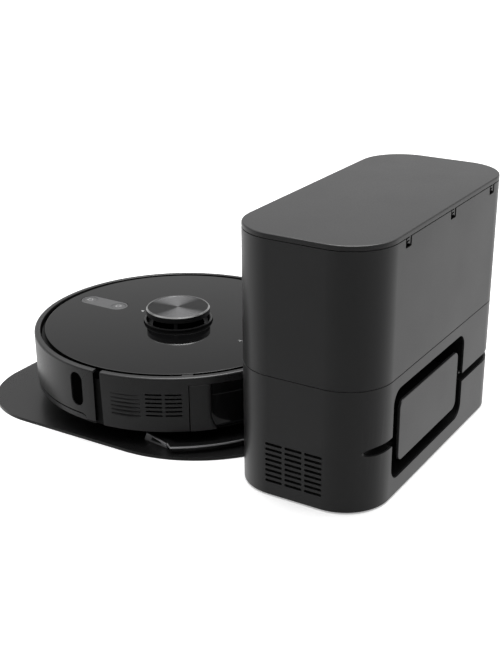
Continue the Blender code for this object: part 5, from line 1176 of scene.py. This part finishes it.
# ---------------------------------------------------------------- laser turret
def make_turret():
    cap_low = CAP_SKIRT_Z
    top = CAP_DISC_Z - 0.0003
    section = [(TURRET_R - 0.0025, cap_low), (TURRET_R - 0.0004, cap_low), (TURRET_R, cap_low + 0.0004),
               (TURRET_R, top), (0.0020, top), (0.0020, top - 0.0025), (TURRET_R - 0.0025, top - 0.0025)]
    piece("turret_cap", sweep(section, 0, 360, 3.0), "turret_cap", "robot_satin_black", "lidar_cap")
    posts = bmesh.new()
    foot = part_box("lidar_cap")[0].z
    for quarter in range(4):
        middle = POST_DEG + 90 * quarter
        half = math.degrees(0.00225 / TURRET_R)
        outline = band(TURRET_R - 0.0024, TURRET_R - 0.0004, middle - half, middle + half, 4)
        add_loft(posts, [at_z(outline, z) for z in (foot, cap_low + 0.001)])
    piece("cap_posts", posts, "turret_cap", "robot_satin_black", bevel=0.0003)

    disc_low = CAP_DISC_Z
    height = TURRET_TOP_Z - disc_low
    lip = [(TURRET_R, 0.0), (TURRET_R, 0.0003), (TURRET_R - 0.0012, height), (TURRET_R - 0.0020, height),
           (TURRET_R - 0.0024, height - 0.0005), (TURRET_R - 0.0024, 0.0)]
    chamfer = make_object("disc_lip", sweep(lip, 0, 360, 2.5, 0.0, 0.0))
    chamfer.location = (ROBOT.x, ROBOT.y, disc_low)
    dress(chamfer, "turret_cap", "spun_metal", look=LIP_METAL)
    face = height - 0.0005
    levels = ((TURRET_R - 0.0025, 0.0), (TURRET_R - 0.0025, face - 0.0001), (TURRET_R - 0.0027, face))
    disc = make_object("disc_face", turned(0, 0, levels, 144))
    disc.location = (ROBOT.x, ROBOT.y, disc_low)
    dress(disc, "turret_cap", "spun_metal", "lidar_cap_disc")

    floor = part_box("lidar_base")[0].z
    outer = TURRET_R + 0.0022
    thick = 0.0006
    inner = 0.0320
    section = [(inner, floor), (outer, floor), (outer, GUARD_Z - thick),
               (GUARD_R - 0.0002, GUARD_Z - thick), (GUARD_R, GUARD_Z - 0.0003),
               (GUARD_R, GUARD_Z + 0.0003), (GUARD_R - 0.0002, GUARD_Z + thick),
               (outer - 0.0016, GUARD_Z + thick), (outer - 0.0016, floor + 0.0015),
               (inner, floor + 0.0015)]
    piece("turret_base", sweep(section, 0, 360, 3.0), "robot", "robot_satin_black", "lidar_base")


# ---------------------------------------------------------------- underside and insides
def make_side_brush():
    """A hub with three sprung arms, each ending in a fan of bristles."""
    low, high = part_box("side_brush")
    joint = next(j for j in frame["joints"] if j["name"] == "side_brush_spin")
    x, y = joint["pos_m"][:2]
    z = low.z + 0.0018
    levels = ((0.0085, low.z), (0.0100, low.z + 0.001), (0.0100, 0.0125), (0.0070, 0.0138),
              (0.0040, 0.0140), (0.0040, high.z))
    bm = turned(x, y, levels, 24)
    for arm in range(3):
        middle = 120 * arm + 20
        for i in range(15):
            lean = middle + (i - 7) * 0.62
            start = polar_at(x, y, 0.020, middle + (i - 7) * 1.1)
            end = polar_at(x, y, 0.0492 - 0.0012 * abs(i - 7) / 7, lean)
            add_rod(bm, (*start, z), (*end, z - 0.0004), 0.00022)
        add_rod(bm, (*polar_at(x, y, 0.008, middle), z), (*polar_at(x, y, 0.024, middle), z), 0.0011, 8)
    piece("corner_brush", bm, "corner_brush", "bristle", "side_brush")


def add_rod(bm, start, end, radius, sides=5):
    start = Vector(start)
    end = Vector(end)
    axis = (end - start).normalized()
    across = axis.orthogonal().normalized()
    other = axis.cross(across)
    rings = []
    for point in (start, end):
        turns = [2 * math.pi * i / sides for i in range(sides)]
        rings.append([point + radius * (math.cos(t) * across + math.sin(t) * other) for t in turns])
    add_loft(bm, rings)


def make_filter():
    """A pleated block in a slim frame."""
    low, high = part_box("hepa_filter")
    rim = 0.0025
    outer = [(low.x, low.z), (high.x, low.z), (high.x, high.z), (low.x, high.z)]
    inner = [(low.x + rim, low.z + rim), (high.x - rim, low.z + rim), (high.x - rim, high.z - rim),
             (low.x + rim, high.z - rim)]
    ring = ((outer, low.y), (outer, high.y), (inner, high.y), (inner, low.y))
    piece("filter_frame", stack_y(ring, tube=True), "robot", "dark_grey")
    pleats = 26
    width = high.x - low.x - 2 * rim
    front = []
    back = []
    for i in range(2 * pleats + 1):
        x = low.x + rim + width * i / (2 * pleats)
        deep = 0.0040 if i % 2 else 0.0
        front.append((x, low.y + 0.0008 + deep))
        back.append((x, low.y + 0.0068 + deep))
    outline = front + list(reversed(back))
    block = prisms([outline], low.z + rim, high.z - rim)
    piece("filter_pleat", block, "robot", "filter_pleats", "hepa_filter")


# ---------------------------------------------------------------- stage
def make_floor():
    bm = bmesh.new()
    bmesh.ops.create_circle(bm, cap_ends=True, segments=96, radius=16.0)
    floor = make_object("floor", bm)
    floor.location = (0, 0, -0.0002)
    shader = Shader("floor_paper", specular=0.1)
    fibres = shader.noise(3.0, 2.0)
    shader.colour(shader.blend(fibres, grey(0.90), grey(0.92)))
    shader.roughness(shader.spread(fibres, 0.9, 1.0))
    shader.bsdf.inputs["Emission Color"].default_value = (1, 1, 1, 1)
    shader.bsdf.inputs["Emission Strength"].default_value = FLOOR_GLOW
    floor.data.materials.append(shader.material)
    floor.visible_glossy = False


def area_light(name, position, target, width, height, watts):
    light = bpy.data.lights.new(name, "AREA")
    light.shape = "RECTANGLE"
    light.size = width
    light.size_y = height
    light.energy = watts
    obj = bpy.data.objects.new(name, light)
    bpy.context.scene.collection.objects.link(obj)
    obj.location = position
    direction = Vector(target) - Vector(position)
    obj.rotation_euler = direction.to_track_quat("-Z", "Y").to_euler()


def make_light():
    """A studio that is bright behind the object and overhead, and dim on the camera's side."""
    world = bpy.data.worlds.new("studio")
    bpy.context.scene.world = world
    world.use_nodes = True
    nodes = world.node_tree.nodes
    links = world.node_tree.links
    background = nodes["Background"]
    where = nodes.new("ShaderNodeTexCoord").outputs["Generated"]
    split = nodes.new("ShaderNodeSeparateXYZ")
    links.new(where, split.inputs["Vector"])
    away = nodes.new("ShaderNodeVectorMath")
    away.operation = "DOT_PRODUCT"
    links.new(where, away.inputs[0])
    away.inputs[1].default_value = BRIGHT_SIDE

    def ramp(value, stops):
        lift = nodes.new("ShaderNodeMapRange")
        lift.inputs["From Min"].default_value = -1.0
        links.new(value, lift.inputs["Value"])
        node = nodes.new("ShaderNodeValToRGB")
        links.new(lift.outputs["Result"], node.inputs["Fac"])
        elements = node.color_ramp.elements
        for element, (position, level) in zip(elements, (stops[0], stops[-1])):
            element.position = (position + 1) / 2
            element.color = (*grey(level), 1)
        for position, level in stops[1:-1]:
            elements.new((position + 1) / 2).color = (*grey(level), 1)
        return node.outputs["Color"]

    product = nodes.new("ShaderNodeMix")
    product.data_type = "RGBA"
    product.blend_type = "MULTIPLY"
    product.inputs["Factor"].default_value = 1.0
    links.new(ramp(split.outputs["Z"], HEIGHT_LEVELS), product.inputs[6])
    links.new(ramp(away.outputs["Value"], SIDE_LEVELS), product.inputs[7])
    links.new(product.outputs[2], background.inputs["Color"])
    background.inputs["Strength"].default_value = WORLD_STRENGTH
    for name, position, target, width, height, watts in LIGHTS:
        area_light(name, position, target, width, height, watts)


def make_camera():
    camera = bpy.data.objects.new("camera", bpy.data.cameras.new("camera"))
    bpy.context.scene.collection.objects.link(camera)
    azimuth = math.radians(CAMERA_AZIMUTH)
    rise = math.radians(CAMERA_ELEVATION)
    back = Vector((math.sin(azimuth) * math.cos(rise), -math.cos(azimuth) * math.cos(rise), math.sin(rise)))
    camera.location = CAMERA_PLACE
    camera.rotation_euler = (-back).to_track_quat("-Z", "Y").to_euler()
    camera.data.sensor_width = 36.0
    camera.data.lens = CAMERA_LENS
    camera.data.shift_x = CAMERA_SHIFT[0]
    camera.data.shift_y = CAMERA_SHIFT[1]
    camera.data.clip_start = 0.01
    bpy.context.scene.camera = camera
    bpy.context.scene.view_settings.view_transform = "Standard"


def main():
    for build in (dress_cad_nodes, make_camera, make_light, make_floor, make_lower_shell,
                  make_upper_shell, make_lid, make_cord_wrap, make_inlet_seal, make_bag, make_tray,
                  make_bumper, make_rear_shell, make_bin, make_glass, make_panel, make_turret,
                  make_side_brush, make_filter):
        build()


main()
